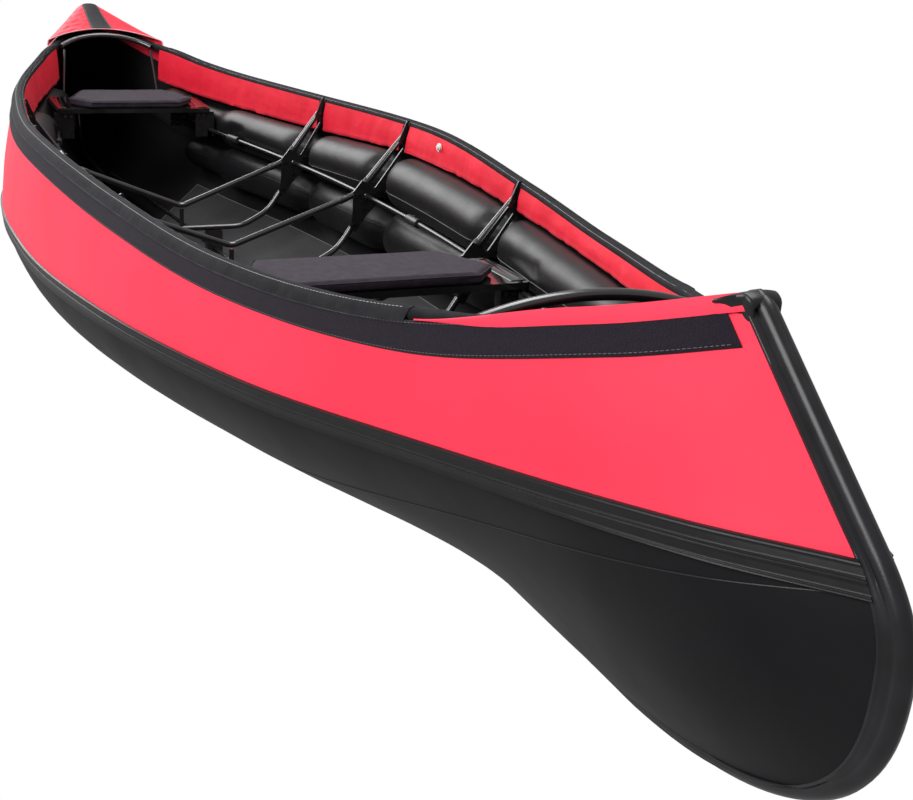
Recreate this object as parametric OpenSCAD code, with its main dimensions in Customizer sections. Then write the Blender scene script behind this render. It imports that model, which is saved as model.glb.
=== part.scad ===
// Folding two-seat canoe: a PVC skin over a tube frame, with four air tubes along the sides.
// +X is the bow, +Y is port, +Z is up, and z = 0 is the underside of the keel amidships.

/* [Hull] */
// Overall length, stem to stem
hull_l = 4250; // [4000:10:4500]
// Beam over the side seams amidships
beam = 948; // [900:2:1000]
// Beam over the gunwales amidships
gunwale_beam = 900; // [860:2:940]
// Depth amidships, keel to gunwale
depth = 435; // [420:1:450]
// Height of the side seam amidships
seam_h = 231; // [220:1:240]
// Thickness of the lower skin
skin_t = 3; // [2:0.5:4]
// Thickness of the red side fabric
panel_t = 2.5; // [2:0.5:3]
// Outward swell of the side panels
side_swell = 7; // [3:1:10]

/* [Stems] */
// Height of the fullest point of each stem
stem_full_h = 270; // [250:5:290]
// Width of the stem band
band_w = 36; // [30:1:42]
// Depth of the stem band, from its leading edge inward
band_d = 26; // [20:1:30]

/* [Trim] */
// Height of the rub strake over the seam
strake_h = 24; // [18:1:30]
// Thickness of the rub strake
strake_t = 6; // [4:0.5:8]
// Width of the hook-and-loop band under the gunwale
velcro_w = 33; // [26:1:38]
// Outer radius of the fabric sleeve on the gunwale tube
sleeve_r = 11.5; // [11:0.5:13]

/* [Air tubes] */
// Radius of each air tube amidships
air_r = 68; // [60:1:70]
// Share of that radius lost where a rib presses on the tube
air_neck = 0.36; // [0.3:0.02:0.4]
// Sternmost point of the lower air tubes
lower_air_stern = -1300; // [-1320:10:-1250]

/* [Frame] */
// Radius of the gunwale tubes
gunwale_r = 9.5; // [8:0.5:10]
// Radius of the rib tubes
rib_r = 7; // [6:0.5:8]
// Radius of the side and bottom stringers
stringer_r = 5.5; // [5:0.5:6]
// Stations of the stern, middle and bow ribs along the hull
rib_x = [-580, -112, 552];
// Station of the deck arches, each way from amidships
arch_x = 1500; // [1480:5:1520]
// Height of the rib's elbow
elbow_h = 281; // [270:1:290]
// Height of the lowest point of the rib's cross bar
cross_h = 173; // [165:1:180]
// Height of the rib's floor bar
floor_h = 115; // [110:1:120]

/* [Seats] */
// Thickness of a seat board
board_t = 12; // [9:1:14]
// Front-to-back size of a seat board
board_d = 190; // [170:5:200]
// Centre of the bow seat
bow_seat_x = 735; // [720:5:760]
// Centre of the stern seat
stern_seat_x = -1190; // [-1210:5:-1170]
// Thickness of a seat pad above its board
pad_t = 22; // [15:1:26]
// How far a seat lifts off
seat_lift = 120; // [60:10:150]

/* [Hidden] */

black = [0.05, 0.05, 0.055];
red = [0.93, 0.12, 0.24];
grey = [0.2, 0.2, 0.21];
purple = [0.16, 0.12, 0.17];
gap = 0.5;

// Lines of the hull, given at the standard size and stretched by these three factors.
kx = hull_l / 4250;
ky = beam / 948;
kg = gunwale_beam / 900;
seam_end_z = 363;
stem_w = 12;

// Half-breadths and heights, each from amidships (0) to the end of its own line.
gunwale_y = [[0, 450], [600, 402], [1100, 318], [1500, 190], [1860, 16]];
gunwale_z_bow = [[0, 435], [600, 412], [1000, 400], [1400, 424], [1700, 494], [1860, 545]];
gunwale_z_stern = [[0, 435], [900, 430], [1300, 447], [1600, 500], [1860, 578]];
seam_y = [[0, 474], [600, 437], [1100, 332], [1500, 212], [1900, 94], [2075, 16]];
seam_z_bow = [[0, 231], [600, 252], [1100, 267], [1500, 299], [2075, seam_end_z]];
seam_z_stern = [[0, 231], [600, 210], [1100, 202], [1500, 232], [2075, seam_end_z]];
// Fullness of the lower sections: 2 is an ellipse and 1 is a straight V.
fullness = [[0, 2.45], [0.45, 1.75], [0.75, 1.15], [1, 1.6]];

// A smooth line through the points of a table, level at its first point.
function piece(p, x, i = 0) = (i >= len(p) - 2 || x < p[i + 1][0]) ? i : piece(p, x, i + 1);
function slope(p, i) =
    i <= 0 ? 0 :
    i >= len(p) - 1 ? (p[i][1] - p[i - 1][1]) / (p[i][0] - p[i - 1][0]) :
    (p[i + 1][1] - p[i - 1][1]) / (p[i + 1][0] - p[i - 1][0]);
function line_at(p, x) =
    let (i = piece(p, x), h = p[i + 1][0] - p[i][0], t = (x - p[i][0]) / h)
    (2 * t * t * t - 3 * t * t + 1) * p[i][1] + (t * t * t - 2 * t * t + t) * h * slope(p, i)
    + (3 * t * t - 2 * t * t * t) * p[i + 1][1] + (t * t * t - t * t) * h * slope(p, i + 1);
function mix(a, b, t) = a + (b - a) * t;

// Leading edge of a stem at height z: a full round forefoot, then a straight rake.
function rake(d) = d < 100 ? 1.15 * d * d / 200 : 1.15 * (d - 50);
function stem_x(z) = kx * (z < stem_full_h
    ? 1600 + 525 * pow(1 - pow(1 - max(z, 0) / stem_full_h, 2.55), 1 / 2.55)
    : 2125 - rake(z - stem_full_h));

// Height and half-breadth of the gunwale and the seam at the share s of their length.
function gunwale_zs(s) = depth / 435 * line_at(s < 0 ? gunwale_z_stern : gunwale_z_bow, abs(s) * 1860);
function seam_zs(s) = seam_h / 231 * line_at(s < 0 ? seam_z_stern : seam_z_bow, abs(s) * 2075);
function gunwale_ys(s) = kg * line_at(gunwale_y, abs(s) * 1860);
function seam_ys(s) = ky * line_at(seam_y, abs(s) * 2075);

// Amount trimmed off the keel, which leaves a flat strip along the bottom
keel_flat = 1;
// A point on the port skin. s runs -1 to 1 along it, v is 0 at the keel, 1 at the seam and 2 at the gunwale.
function low_z(top, e, v) = max(0, top * (1 - pow(cos(90 * v), 2 / e)) - keel_flat * (1 - v));
function end_x(s, v) = (v <= 1 ? stem_x(low_z(seam_zs(sign(s)), 1.6, v))
    : mix(stem_x(seam_zs(sign(s))), stem_x(gunwale_zs(sign(s))), v - 1)) - band_d - gap;
function skin(s, v) =
    let (e = line_at(fullness, abs(s)), x = s * end_x(s < 0 ? -1 : 1, v))
    v <= 1
        ? [x, seam_ys(s) * pow(sin(90 * v), 2 / e), low_z(seam_zs(s), e, v)]
        : [x, mix(seam_ys(s), gunwale_ys(s), v - 1) + side_swell * sin(180 * (v - 1)) * (1 - s * s),
           mix(seam_zs(s), gunwale_zs(s), v - 1)];
function unit(a) = a / norm(a);
function outward(s, v) = v < 0.01 ? [0, 0, -1] :
    let (a = max(v - 0.02, 0), b = min(v + 0.02, v < 1 ? 1 : 2.1), c = min(abs(s), 0.97) * sign(s))
    unit(cross(skin(c, b) - skin(c, a), skin(c + 0.02, v) - skin(c - 0.02, v)));
// The same point moved d outward, and put on the side given by the sign of v.
function on_skin(s, v, d) =
    let (a = skin(s, abs(v)), p = a + d * outward(s, abs(v)), y = max(p[1], 0.4 * a[1]))
    [p[0], v < 0 ? -y : y, p[2]];

// Closed shell between two grids of points, outer and inner.
module shell(outer, inner, flip = false) {
    n = len(outer);
    m = len(outer[0]);
    k = n * m;
    at = function (i, j) i * m + j;
    quads = concat(
        [for (i = [0:n - 2], j = [0:m - 2]) [at(i, j), at(i + 1, j), at(i + 1, j + 1), at(i, j + 1)]],
        [for (i = [0:n - 2], j = [0:m - 2])
            [k + at(i, j), k + at(i, j + 1), k + at(i + 1, j + 1), k + at(i + 1, j)]],
        [for (i = [0:n - 2]) [at(i, 0), k + at(i, 0), k + at(i + 1, 0), at(i + 1, 0)]],
        [for (i = [0:n - 2]) [at(i, m - 1), at(i + 1, m - 1), k + at(i + 1, m - 1), k + at(i, m - 1)]],
        [for (j = [0:m - 2]) [at(0, j), at(0, j + 1), k + at(0, j + 1), k + at(0, j)]],
        [for (j = [0:m - 2]) [at(n - 1, j), k + at(n - 1, j), k + at(n - 1, j + 1), at(n - 1, j + 1)]]);
    tris = [for (q = quads) each [[q[0], q[1], q[2]], [q[0], q[2], q[3]]]];
    polyhedron([for (g = [outer, inner]) each [for (row = g) each row]],
        flip ? [for (t = tris) [t[2], t[1], t[0]]] : tris, convexity = 10);
}

// Solid swept through a list of rings with the same number of points.
module swept(rings) {
    n = len(rings);
    m = len(rings[0]);
    sides = [for (i = [0:n - 2], j = [0:m - 1]) each
        let (a = i * m + j, b = i * m + (j + 1) % m) [[a, b, b + m], [a, b + m, a + m]]];
    polyhedron([for (r = rings) each r],
        concat(sides, [[for (j = [m - 1:-1:0]) j]], [[for (j = [0:m - 1]) (n - 1) * m + j]]), convexity = 10);
}

// Ring of radius r in the plane across the hull.
function ring(p, r, m) = [for (j = [0:m - 1]) p + r * [0, cos(360 * j / m), -sin(360 * j / m)]];
function mirror_y(p, side) = [p[0], side * p[1], p[2]];

// Part of the skin between rows of v, on one side, from depth d0 to depth d1 of the surface.
module skin_strip(side, stations, rows, d0, d1) {
    shell([for (s = stations) [for (v = rows) mirror_y(on_skin(s, v, d1), side)]],
        [for (s = stations) [for (v = rows) mirror_y(on_skin(s, v, d0), side)]], flip = side < 0);
}
stations = [for (i = [-22:22]) i / 22];
// v of the side panel at a distance d below the gunwale
function below(s, d) = 2 - d / (gunwale_zs(s) - seam_zs(s));

skin_v = [0.06, 0.14, 0.24, 0.35, 0.46, 0.57, 0.68, 0.79, 0.9, 0.99];
module hull_skin() {
    rows = concat([for (i = [9:-1:0]) -skin_v[i]], [0], skin_v);
    color(black)
        shell([for (s = stations) [for (v = rows) on_skin(s, v, 0)]],
            [for (s = stations) [for (v = rows) on_skin(s, v, -skin_t)]]);
}

module side_panel(side) {
    color(red) skin_strip(side, stations, [1.01, 1.3, 1.55, 1.8, 2], -panel_t, 0);
}

module rub_strake(side) {
    list = [for (s = stations) 0.996 * s];
    color(black)
        shell([for (s = list) strake_row(s, gap + strake_t, side)],
            [for (s = list) strake_row(s, gap + 0.3, side)], flip = side < 0);
}
// v of the lower skin at a distance d below the seam
function under(s, d) = acos(pow(d / seam_zs(s), line_at(fullness, abs(s)) / 2)) / 90;
function strake_row(s, d, side) =
    [for (h = [strake_h, strake_h / 2, 2]) mirror_y(on_skin(s, under(s, h), d), side)];

module velcro_band(side) {
    list = [for (i = [-17:20]) i < 0 ? 0.828 * i / 17 : 0.9885 * i / 20];
    color(purple)
        shell([for (s = list) [for (d = [velcro_w, velcro_w / 2, 0])
                mirror_y(on_skin(s, below(s, d), gap + 3.1), side)]],
            [for (s = list) [for (d = [velcro_w, velcro_w / 2, 0])
                mirror_y(on_skin(s, below(s, d), gap + 0.6), side)]], flip = side < 0);
}

// Centre of the gunwale tube: just above the panel's edge amidships, and tucked lower near the stems
function ease(t) = let (k = max(0, min(1, t))) k * k * (3 - 2 * k);
function gunwale_c(s) = let (p = skin(s, 2))
    [p[0], p[1] - sleeve_r - panel_t - 1, p[2] + 6 - 12 * ease((abs(s) - 0.76) / 0.1)];
tube_end = 0.93;
function sleeve_s(end) = [for (i = [-18:18]) abs(i) < 18 ? (tube_end - 0.01) * i / 18 : end * sign(i)];

module gunwale_tube(side) {
    color(black)
        swept([for (s = sleeve_s(tube_end)) let (r = ring(gunwale_c(s), gunwale_r, 8))
            side > 0 ? r : [for (j = [7:-1:0]) mirror_y(r[j], -1)]]);
}

module gunwale_sleeve(side) {
    m = 8;
    list = sleeve_s(tube_end - 0.01);
    loop = function (s, r) [for (j = [0:m]) mirror_y(gunwale_c(s)
        + r * [0, cos(360 * (j % m) / m + 22.5), -sin(360 * (j % m) / m + 22.5)], side)];
    inner_r = (gunwale_r + 0.6) / cos(180 / m);
    color(grey) tube_shell([for (s = list) loop(s, sleeve_r)], [for (s = list) loop(s, inner_r)], side < 0);
}

// Pipe between two grids whose rows close on themselves.
module tube_shell(outer, inner, flip) {
    n = len(outer);
    m = len(outer[0]) - 1;
    k = n * m;
    next = function (j) (j + 1) % m;
    quads = concat(
        [for (i = [0:n - 2], j = [0:m - 1])
            [i * m + j, i * m + next(j), (i + 1) * m + next(j), (i + 1) * m + j]],
        [for (i = [0:n - 2], j = [0:m - 1])
            [k + i * m + j, k + (i + 1) * m + j, k + (i + 1) * m + next(j), k + i * m + next(j)]],
        [for (j = [0:m - 1]) [j, k + j, k + next(j), next(j)]],
        [for (j = [0:m - 1]) let (a = (n - 1) * m) [a + j, a + next(j), k + a + next(j), k + a + j]]);
    tris = [for (q = quads) each [[q[0], q[1], q[2]], [q[0], q[2], q[3]]]];
    polyhedron([for (g = [outer, inner]) each [for (row = g) each [for (j = [0:m - 1]) row[j]]]],
        flip ? [for (t = tris) [t[2], t[1], t[0]]] : tris, convexity = 10);
}

// Lining flap of each bay, hanging from the sleeve down to the crown of the upper air tube
lining_x = 1470;
module lining(side) {
    cuts = concat([-lining_x], rib_x, [lining_x]);
    color(red)
        for (i = [0:3]) {
            a = cuts[i] + (i > 0 ? 22 : 0);
            b = cuts[i + 1] - (i < 3 ? 14 : 0);
            n = ceil((b - a) / 90);
            list = [for (k = [0:n]) mix(a, b, k / n) / end_x(sign(a + b), 2)];
            shell([for (s = list) lining_row(s, 0, side)],
                [for (s = list) lining_row(s, 2, side)], flip = side < 0);
        }
}
function lining_row(s, t, side) =
    let (c = gunwale_c(s), x = c[0], w = x / end_x(sign(x), upper_v), r = tube_radius(w, upper_v),
        q = on_skin(w, upper_v, -r - skin_t - 2),
        top = [c[1] - sleeve_r - 1.5, c[2] - 4], low = [min(q[1] + 8, top[0] - 6), q[2] + r + 2])
    [for (p = [low, mix(low, top, 0.5) + [-1, 0], top]) mirror_y([x, max(p[0] - t, 4), p[1] + t / 2], side)];

// Folded edge of the side panel between the end of the sleeve and the bow stem
module bow_flap(side) {
    list = [for (i = [0:9]) mix(0.79, 0.972, i / 9)];
    row = function (i, d) [for (k = [0, 0.5, 1])
        mirror_y(on_skin(list[i], below(list[i], -0.5 - k * mix(1, 9, ease(i / 5))), d), side)];
    color(red)
        shell([for (i = [0:9]) row(i, gap + 2.2)], [for (i = [0:9]) row(i, gap)], flip = side < 0);
}

// Stem band: level slices from the forefoot to the gunwale, cut to fill the gap ahead of the skin.
module stem_band(dir) {
    top = gunwale_zs(dir) - (dir > 0 ? 15 : 22);
    half = band_w / 2;
    back = band_d - 0.6;
    outline = [[0, 0.45], [3, 0.8], [9, 1], [back, 1], [back, -1], [9, -1], [3, -0.8], [0, -0.45]];
    rings = [for (i = [0:24]) let (z = mix(1.5, top, pow(i / 24, 1.7)), x = stem_x(z))
        [for (q = outline) [dir * (x - q[0]), q[1] * half * min(1, 0.25 + i / 8), z]]];
    color(black) swept(dir < 0 ? rings : [for (r = rings) [for (j = [7:-1:0]) r[j]]]);
}

// Cap on the stem top, running inboard over the ends of the side panels.
module stem_cap(dir, inboard) {
    top = gunwale_zs(dir) + 0.5;
    tip = stem_x(top) - 3;
    color(black)
        hull() {
            for (x = [tip, tip - 22])
                translate([dir * x, 0, top]) cylinder(r = band_w / 2 - 4, h = 8, $fn = 24);
            translate([dir * (tip - inboard), 0, gunwale_zs(dir * 0.94) + 5])
                cylinder(r = 13, h = 8, $fn = 24);
        }
}

// Stern deck, from the arch to the stem, with a short skirt down each side.
deck_from = 0.836;
function deck_point(t, u, d) =
    let (s = -mix(deck_from, 0.985, t), p = skin(s, 2), k = min(abs(u), 1), past = max(abs(u) - 1, 0))
    [p[0] - (1 - t) * 55 * (1 - k * k), sign(u) * (k * (p[1] + 3 + 0.4 * d) + d * past * 8 + 0.7),
     p[2] + 11 + d * (1 - past * 5) + mix(30, 12, t) * (1 - k * k) - past * 75];
deck_rows = [-1.2, -1, -0.8, -0.55, -0.3, -0.12, 0.12, 0.3, 0.55, 0.8, 1, 1.2];
module stern_deck() {
    list = [for (i = [0:10]) i / 10];
    color(red) shell([for (t = list) [for (u = deck_rows) deck_point(t, u, 2)]],
        [for (t = list) [for (u = deck_rows) deck_point(t, u, 0)]]);
}

module stern_deck_strip() {
    list = [for (i = [0:8]) i / 8 * 0.96];
    w = function (t) min(0.88, mix(31, 21, t) / (skin(-mix(deck_from, 0.985, t), 2)[1] + 3));
    row = function (t, d) [for (u = [-1, -0.33, 0.33, 1]) deck_point(t, u * w(t), d)];
    color(black) shell([for (t = list) row(t, 5)], [for (t = list) row(t, 3.2)]);
}

// Air tube centre and radius at station x. The ribs and the stern seat neck it in.
upper_v = 1.44;
lower_v = 0.88;
function tube_radius(s, v) = air_r * (v > 1 ? 0.93 : 0.95) * (1 - (s > 0 ? 0.8 : 0.35) * s * s);
function press(x) = max(concat([for (r = rib_x) exp(-pow((x - r - 4) / 48, 2))],
    [0.85 * exp(-pow((x - stern_seat_x) / 125, 4))]));
function air_centre(x, v) = let (s = x / end_x(sign(x), v), w = v > 1 ? v : v - 0.25 * s * s,
    r = tube_radius(s, w) * (1 - air_neck * press(x)), p = on_skin(s, w, -r - skin_t - 3)) [p[1], p[2], r];
function flat_yz(c) = [c[0], c[1]];
// Flats of the tube at station x, each a direction and its distance from the centre c:
// against the other tube, the side stringer and the two seats.
function flats(x, v) = let (c = air_centre(x, v), o = air_centre(x, v > 1 ? lower_v : upper_v),
    d = flat_yz(o) - flat_yz(c), w = norm(d),
    touch = [unit(d), (w * w + c[2] * c[2] - o[2] * o[2]) / w / 2 - 0.8])
    v < 1 ? [touch] :
    let (q = at_x(function (k) side_line(k), x, 1830), e = [q[1], q[2]] - flat_yz(c),
        near = min([for (k = connector_x) abs(x - k)]),
        room = max(stringer_r + 2, 15 - 0.4 * max(0, near - 34)),
        beside = function (n) c[0] - max(seat_half[n] + 3, q[1] + 15) + 2 * max(0, abs(x - seat_x[n]) - 112))
    [touch, [unit(e), norm(e) - room], [[-1, 0], beside(0)], [[-1, 0], beside(1)]];
function pressed(p, list, i = 0) = i == len(list) ? p :
    pressed(p - max(0, p * list[i][0] - list[i][1]) * list[i][0], list, i + 1);
function air_stations(a, b) = concat([a, a + 14, b - 14, b],
    [for (x = concat([for (k = [-1300:130:1300]) k],
        [for (r = rib_x, d = [-64, -32, 2, 20, 72]) r + d],
        [for (k = connector_x, d = [-72, -34, 34, 72]) k + d],
        [for (k = seat_x, d = [-145, -112, 112, 145]) k + d]))
        if (x > a + 20 && x < b - 20) x]);
function sorted(a) = len(a) < 2 ? a :
    let (m = a[floor(len(a) / 2)])
    concat(sorted([for (x = a) if (x < m - 12) x]), [m], sorted([for (x = a) if (x > m + 12) x]));
module air_tube(side, v, a, b) {
    xs = sorted(air_stations(a, b));
    n = len(xs) - 1;
    end = function (i) (i == 0 || i == n) ? 0.55 : (i == 1 || i == n - 1) ? 0.88 : 1;
    rings = [for (i = [0:n]) let (c = air_centre(xs[i], v), list = flats(xs[i], v))
        [for (j = [0:13]) let (g = 360 / 14 * j * side,
            p = pressed(c[2] * end(i) * [cos(g), -sin(g)], list))
            [xs[i], side * (c[0] + p[0]), c[1] + p[1]]]];
    color(black) swept(rings);
}

// Inflation-valve plug on the lining, and its finger tab.
plug_x = 112;
module valve_plug(side) {
    s = plug_x / end_x(1, 2);
    y = skin(s, 2)[1] - 39;
    color([0.9, 0.9, 0.88])
        translate([plug_x, side * y, gunwale_zs(s) - 10]) rotate([side * 90, 0, 0])
            union() {
                cylinder(r = 9, h = 4, $fn = 32);
                translate([0, 0, 4]) cylinder(r = 5, h = 3, $fn = 32);
            }
}

// Straight tube between two points.
module rod(p, q, r) {
    d = q - p;
    translate(p) rotate([0, acos(d[2] / norm(d)), atan2(d[1], d[0])]) cylinder(r = r, h = norm(d), $fn = 24);
}

// Side and bottom stringers
function side_line(s) = let (x = s * 1830 * kx)
    [x, (0.68 - 0.1 * s * s) * seam_ys(x / (2100 * kx)), elbow_h - 3 + 80 * pow(s, 4)];
function bottom_line(s) = [s * 1600 * kx, 87 - 66 * pow(abs(s), 3), 60 + 20 * pow(s, 4)];
function at_x(f, x, span) = f(x / (span * kx));
module stringer(side, f, reach, count) {
    list = [for (i = [-count:count]) f(reach * i / count)];
    color(black) swept([for (p = list) let (r = ring(p, stringer_r, 8))
        side > 0 ? r : [for (j = [7:-1:0]) mirror_y(r[j], -1)]]);
}

// Curved tube inside each stem, from the bottom stringers up to the gunwale ends
module stem_post(dir) {
    top = gunwale_zs(dir) - 45;
    inset = 88;
    path = concat([[1640 * kx, 72]], [for (z = [95:36:top]) [stem_x(z) - inset, z]]);
    n = len(path) - 1;
    rings = [for (i = [0:n]) let (a = path[max(i - 1, 0)], b = path[min(i + 1, n)], t = (b - a) / norm(b - a))
        [for (j = [0:9]) let (c = 8 * cos(36 * j), u = 8 * sin(36 * j))
            [dir * (path[i][0] - t[1] * c), (dir > 0 ? 1 : -1) * u, path[i][1] + t[0] * c]]];
    color(black) swept(rings);
}

connector_x = [-950, 190];
connector_r = 10;
module connector_frame(x, side) {
    f = function (s) side_line(s);
    p = mirror_y(at_x(f, x, 1830), side);
    q = mirror_y(at_x(f, x + 10, 1830), side);
    translate(p) rotate([0, 0, atan2(q[1] - p[1], q[0] - p[0])]) children();
}
module stringer_connectors() {
    color(grey)
        for (x = connector_x, side = [-1, 1]) connector_frame(x, side)
            difference() {
                translate([-30, 0, 0]) rotate([0, 90, 0]) cylinder(r = connector_r, h = 60, $fn = 32);
                translate([-31, 0, 0]) rotate([0, 90, 0]) cylinder(r = stringer_r + 0.6, h = 62, $fn = 32);
                translate([0, 0, 7]) cylinder(r = 3.4, h = 10, $fn = 24);
            }
}
module spring_buttons() {
    color("silver")
        for (x = connector_x, side = [-1, 1]) connector_frame(x, side)
            translate([0, 0, 9.9]) cylinder(r = 3, h = 3.2, $fn = 24);
}

// Arch across the hull: an arc of a round tube between the gunwales, tilted about its ends
module arch(dir, rise, tilt) {
    s = dir * arch_x / end_x(dir, 2);
    c = gunwale_c(s);
    half = c[1] - sleeve_r - 8;
    big = (half * half + rise * rise) / (2 * rise);
    a = asin(half / big);
    color(black)
        translate([c[0], 0, c[2]]) rotate([0, tilt, 0]) translate([0, 0, rise - big])
            rotate([0, -90, 0]) rotate([0, 0, -a]) rotate_extrude(angle = 2 * a, $fn = 96)
                translate([big, 0]) circle(r = 8, $fn = 24);
}
// Ends of the strut on the port side of an arch
function strut_line(dir) = let (c = gunwale_c(dir * arch_x / end_x(dir, 2)), e = side_line(dir * 0.79))
    [[c[0] - dir * 16, c[1] - sleeve_r - 14, c[2] - 8], [e[0], e[1], e[2] + 15]];
module arch_struts() {
    color(black)
        for (dir = [-1, 1], side = [-1, 1]) {
            l = strut_line(dir);
            rod(mirror_y(l[0], side), mirror_y(l[1], side), 4);
        }
}

// Foam floor mat lying on the lower skin
module floor_mat() {
    list = [for (i = [-13:14]) i / 22];
    rows = concat([for (i = [5:-1:0]) -skin_v[i]], [0], [for (i = [0:5]) skin_v[i]]);
    color(grey)
        shell([for (s = list) [for (v = rows) on_skin(s, v, -skin_t - 0.8)]],
            [for (s = list) [for (v = rows) on_skin(s, v, -skin_t - 8.8)]]);
}

// Rib n: its elbow, hook and bracket points are [y, z] pairs at station rib_x[n].
function rib_s(n) = rib_x[n] / end_x(sign(rib_x[n]), 2);
function side_at(n) = side_line(rib_x[n] / (1830 * kx));
function elbow(n) = [side_at(n)[1] - 24, elbow_h];
function rib_top(n) = let (c = gunwale_c(rib_s(n))) [c[1] - 18, c[2] - 25];
function bracket_foot(n) = [elbow(n)[0] - 8, elbow_h - 78];

// A path with its inner corners rounded, each starting d before the corner
function bend(a, b, c, d) =
    let (p = b + unit(a - b) * d, q = b + unit(c - b) * d)
    [for (t = [0:0.25:1]) mix(mix(p, b, t), mix(b, q, t), t)];
function rounded(line, d) = let (n = len(line) - 1)
    concat([line[0]], [for (i = [1:n - 1]) each bend(line[i - 1], line[i], line[i + 1], d)], [line[n]]);
// Round tube along a path of [y, z] points in the plane across the hull at station x
module plane_tube(x, path, r, m) {
    n = len(path) - 1;
    rings = [for (i = [0:n]) let (t = unit(path[min(i + 1, n)] - path[max(i - 1, 0)]))
        [for (j = [0:m - 1]) let (c = r * cos(360 * j / m), u = r * sin(360 * j / m))
            [x - u, path[i][0] - t[1] * c, path[i][1] + t[0] * c]]];
    swept(rings);
}

module rib_cross_bar(n) {
    half = [elbow(n), rib_top(n)];
    line = concat([[-half[1][0], half[1][1]], [-half[0][0], half[0][1]]], [[0, cross_h]], half);
    color(black) plane_tube(rib_x[n], rounded(line, 16), rib_r, 12);
}

module rib_floor_bar(n) {
    f = bracket_foot(n);
    half = [[f[0] - 104, floor_h], [f[0] - 34, floor_h + 38], f];
    line = concat([for (i = [2:-1:0]) [-half[i][0], half[i][1]]], half);
    color(black) {
        plane_tube(rib_x[n], rounded(line, 27), rib_r, 12);
        translate([rib_x[n], 0, floor_h + rib_r + 0.3])
            cylinder(r = 5.5, h = cross_h - floor_h - 2 * rib_r - 0.6, $fn = 32);
    }
}

// Bracket plate at the elbow, slotted arm and gunwale hook: one flat plate on the bow side of the rib
plate_t = 4;
plate_x = rib_r + 0.8;
module side_plate(n) {
    e = elbow(n);
    f = bracket_foot(n);
    t = rib_top(n);
    c = gunwale_c(rib_s(n));
    u = unit(t - e);
    v = [u[1], -u[0]];
    low = e + 30 * u + 16 * v;
    high = t - 22 * u + 8 * v;
    st = side_at(n);
    difference() {
        union() {
            polygon([[e[0] - 9, e[1] + 8], [e[0] + 12, e[1] + 34], low + [14, 6], [e[0] + 54, e[1] - 18],
                [e[0] + 22, e[1] - 52], [f[0] + 7, f[1] - 10], [f[0] - 7, f[1] - 4], [e[0] - 9, e[1] - 40]]);
            hull() {
                translate(low) circle(r = 16, $fn = 32);
                translate(high) circle(r = 12, $fn = 32);
            }
            hull() {
                translate(t - 14 * u + 3 * v) circle(r = 10, $fn = 32);
                translate([c[1] - 12, c[2] + 6]) circle(r = 5, $fn = 32);
            }
        }
        hull() {
            translate(low + 14 * u) circle(r = 7, $fn = 32);
            translate(high - 4 * u) circle(r = 6, $fn = 32);
        }
        translate([st[1], st[2]]) circle(r = stringer_r + 1.2, $fn = 32);
        translate([c[1], c[2]]) circle(r = sleeve_r + 1.4, $fn = 48);
    }
}
module rib_side_plates(n) {
    color(black)
        for (side = [-1, 1])
            translate([rib_x[n] + plate_x, 0, 0]) mirror([0, side < 0 ? 1 : 0, 0])
                rotate([90, 0, 90]) linear_extrude(plate_t) side_plate(n);
}

// Blocks that clip the floor bars to the bottom stringers
module rib_clips() {
    f = function (s) bottom_line(s);
    color(black)
        for (x = rib_x, side = [-1, 1]) {
            p = at_x(f, x, 1600);
            translate([x, side * p[1], 0])
                difference() {
                    translate([-12, -20, p[2] - 16]) cube([24, 40, floor_h - rib_r - 0.5 - p[2] + 16]);
                    translate([-13, 0, p[2]]) rotate([0, 90, 0])
                        cylinder(r = stringer_r + 0.8, h = 26, $fn = 32);
                }
        }
}

module bolt_head(p, r, h) {
    translate(p) rotate([0, 90, 0]) cylinder(r = r, h = h, $fn = 24);
}
module rib_bolts() {
    f = function (s) bottom_line(s);
    face = plate_x + plate_t + 0.2;
    color("dimgray")
        for (n = [0:2], side = [-1, 1]) {
            e = elbow(n);
            t = rib_top(n);
            foot = bracket_foot(n);
            b = at_x(f, rib_x[n], 1600);
            for (q = [[t[0] - 3, t[1] - 5], [e[0], e[1]], [e[0] + 42, e[1]], [e[0] + 20, e[1] - 30],
                    [foot[0] + 1, foot[1] + 10]])
                bolt_head([rib_x[n] + face, side * q[0], q[1]], 4, 3.2);
            for (d = [-11, 11]) bolt_head([rib_x[n] + 12.2, side * (b[1] + d), b[2] + 26], 3.5, 3);
        }
}

// Seats: board, wrapped pad, hanger plates that drop over the side stringers, and their bolts
seat_x = [stern_seat_x, bow_seat_x];
seat_top = [357, 303];
// The stern seat is canted toward the bow.
seat_tilt = [3.4, 0];
seat_half = [214, 277];
pad_half = [182, 236];
module seat_frame(n) {
    translate([seat_x[n], 0, seat_top[n]]) rotate([0, seat_tilt[n], 0]) children();
}
module seat_board(n) {
    r = 12;
    color(black)
        seat_frame(n) translate([0, 0, -board_t]) linear_extrude(board_t)
            hull() for (i = [-1, 1], j = [-1, 1])
                translate([i * (board_d / 2 - r), j * (seat_half[n] - r)]) circle(r = r, $fn = 32);
}
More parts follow.
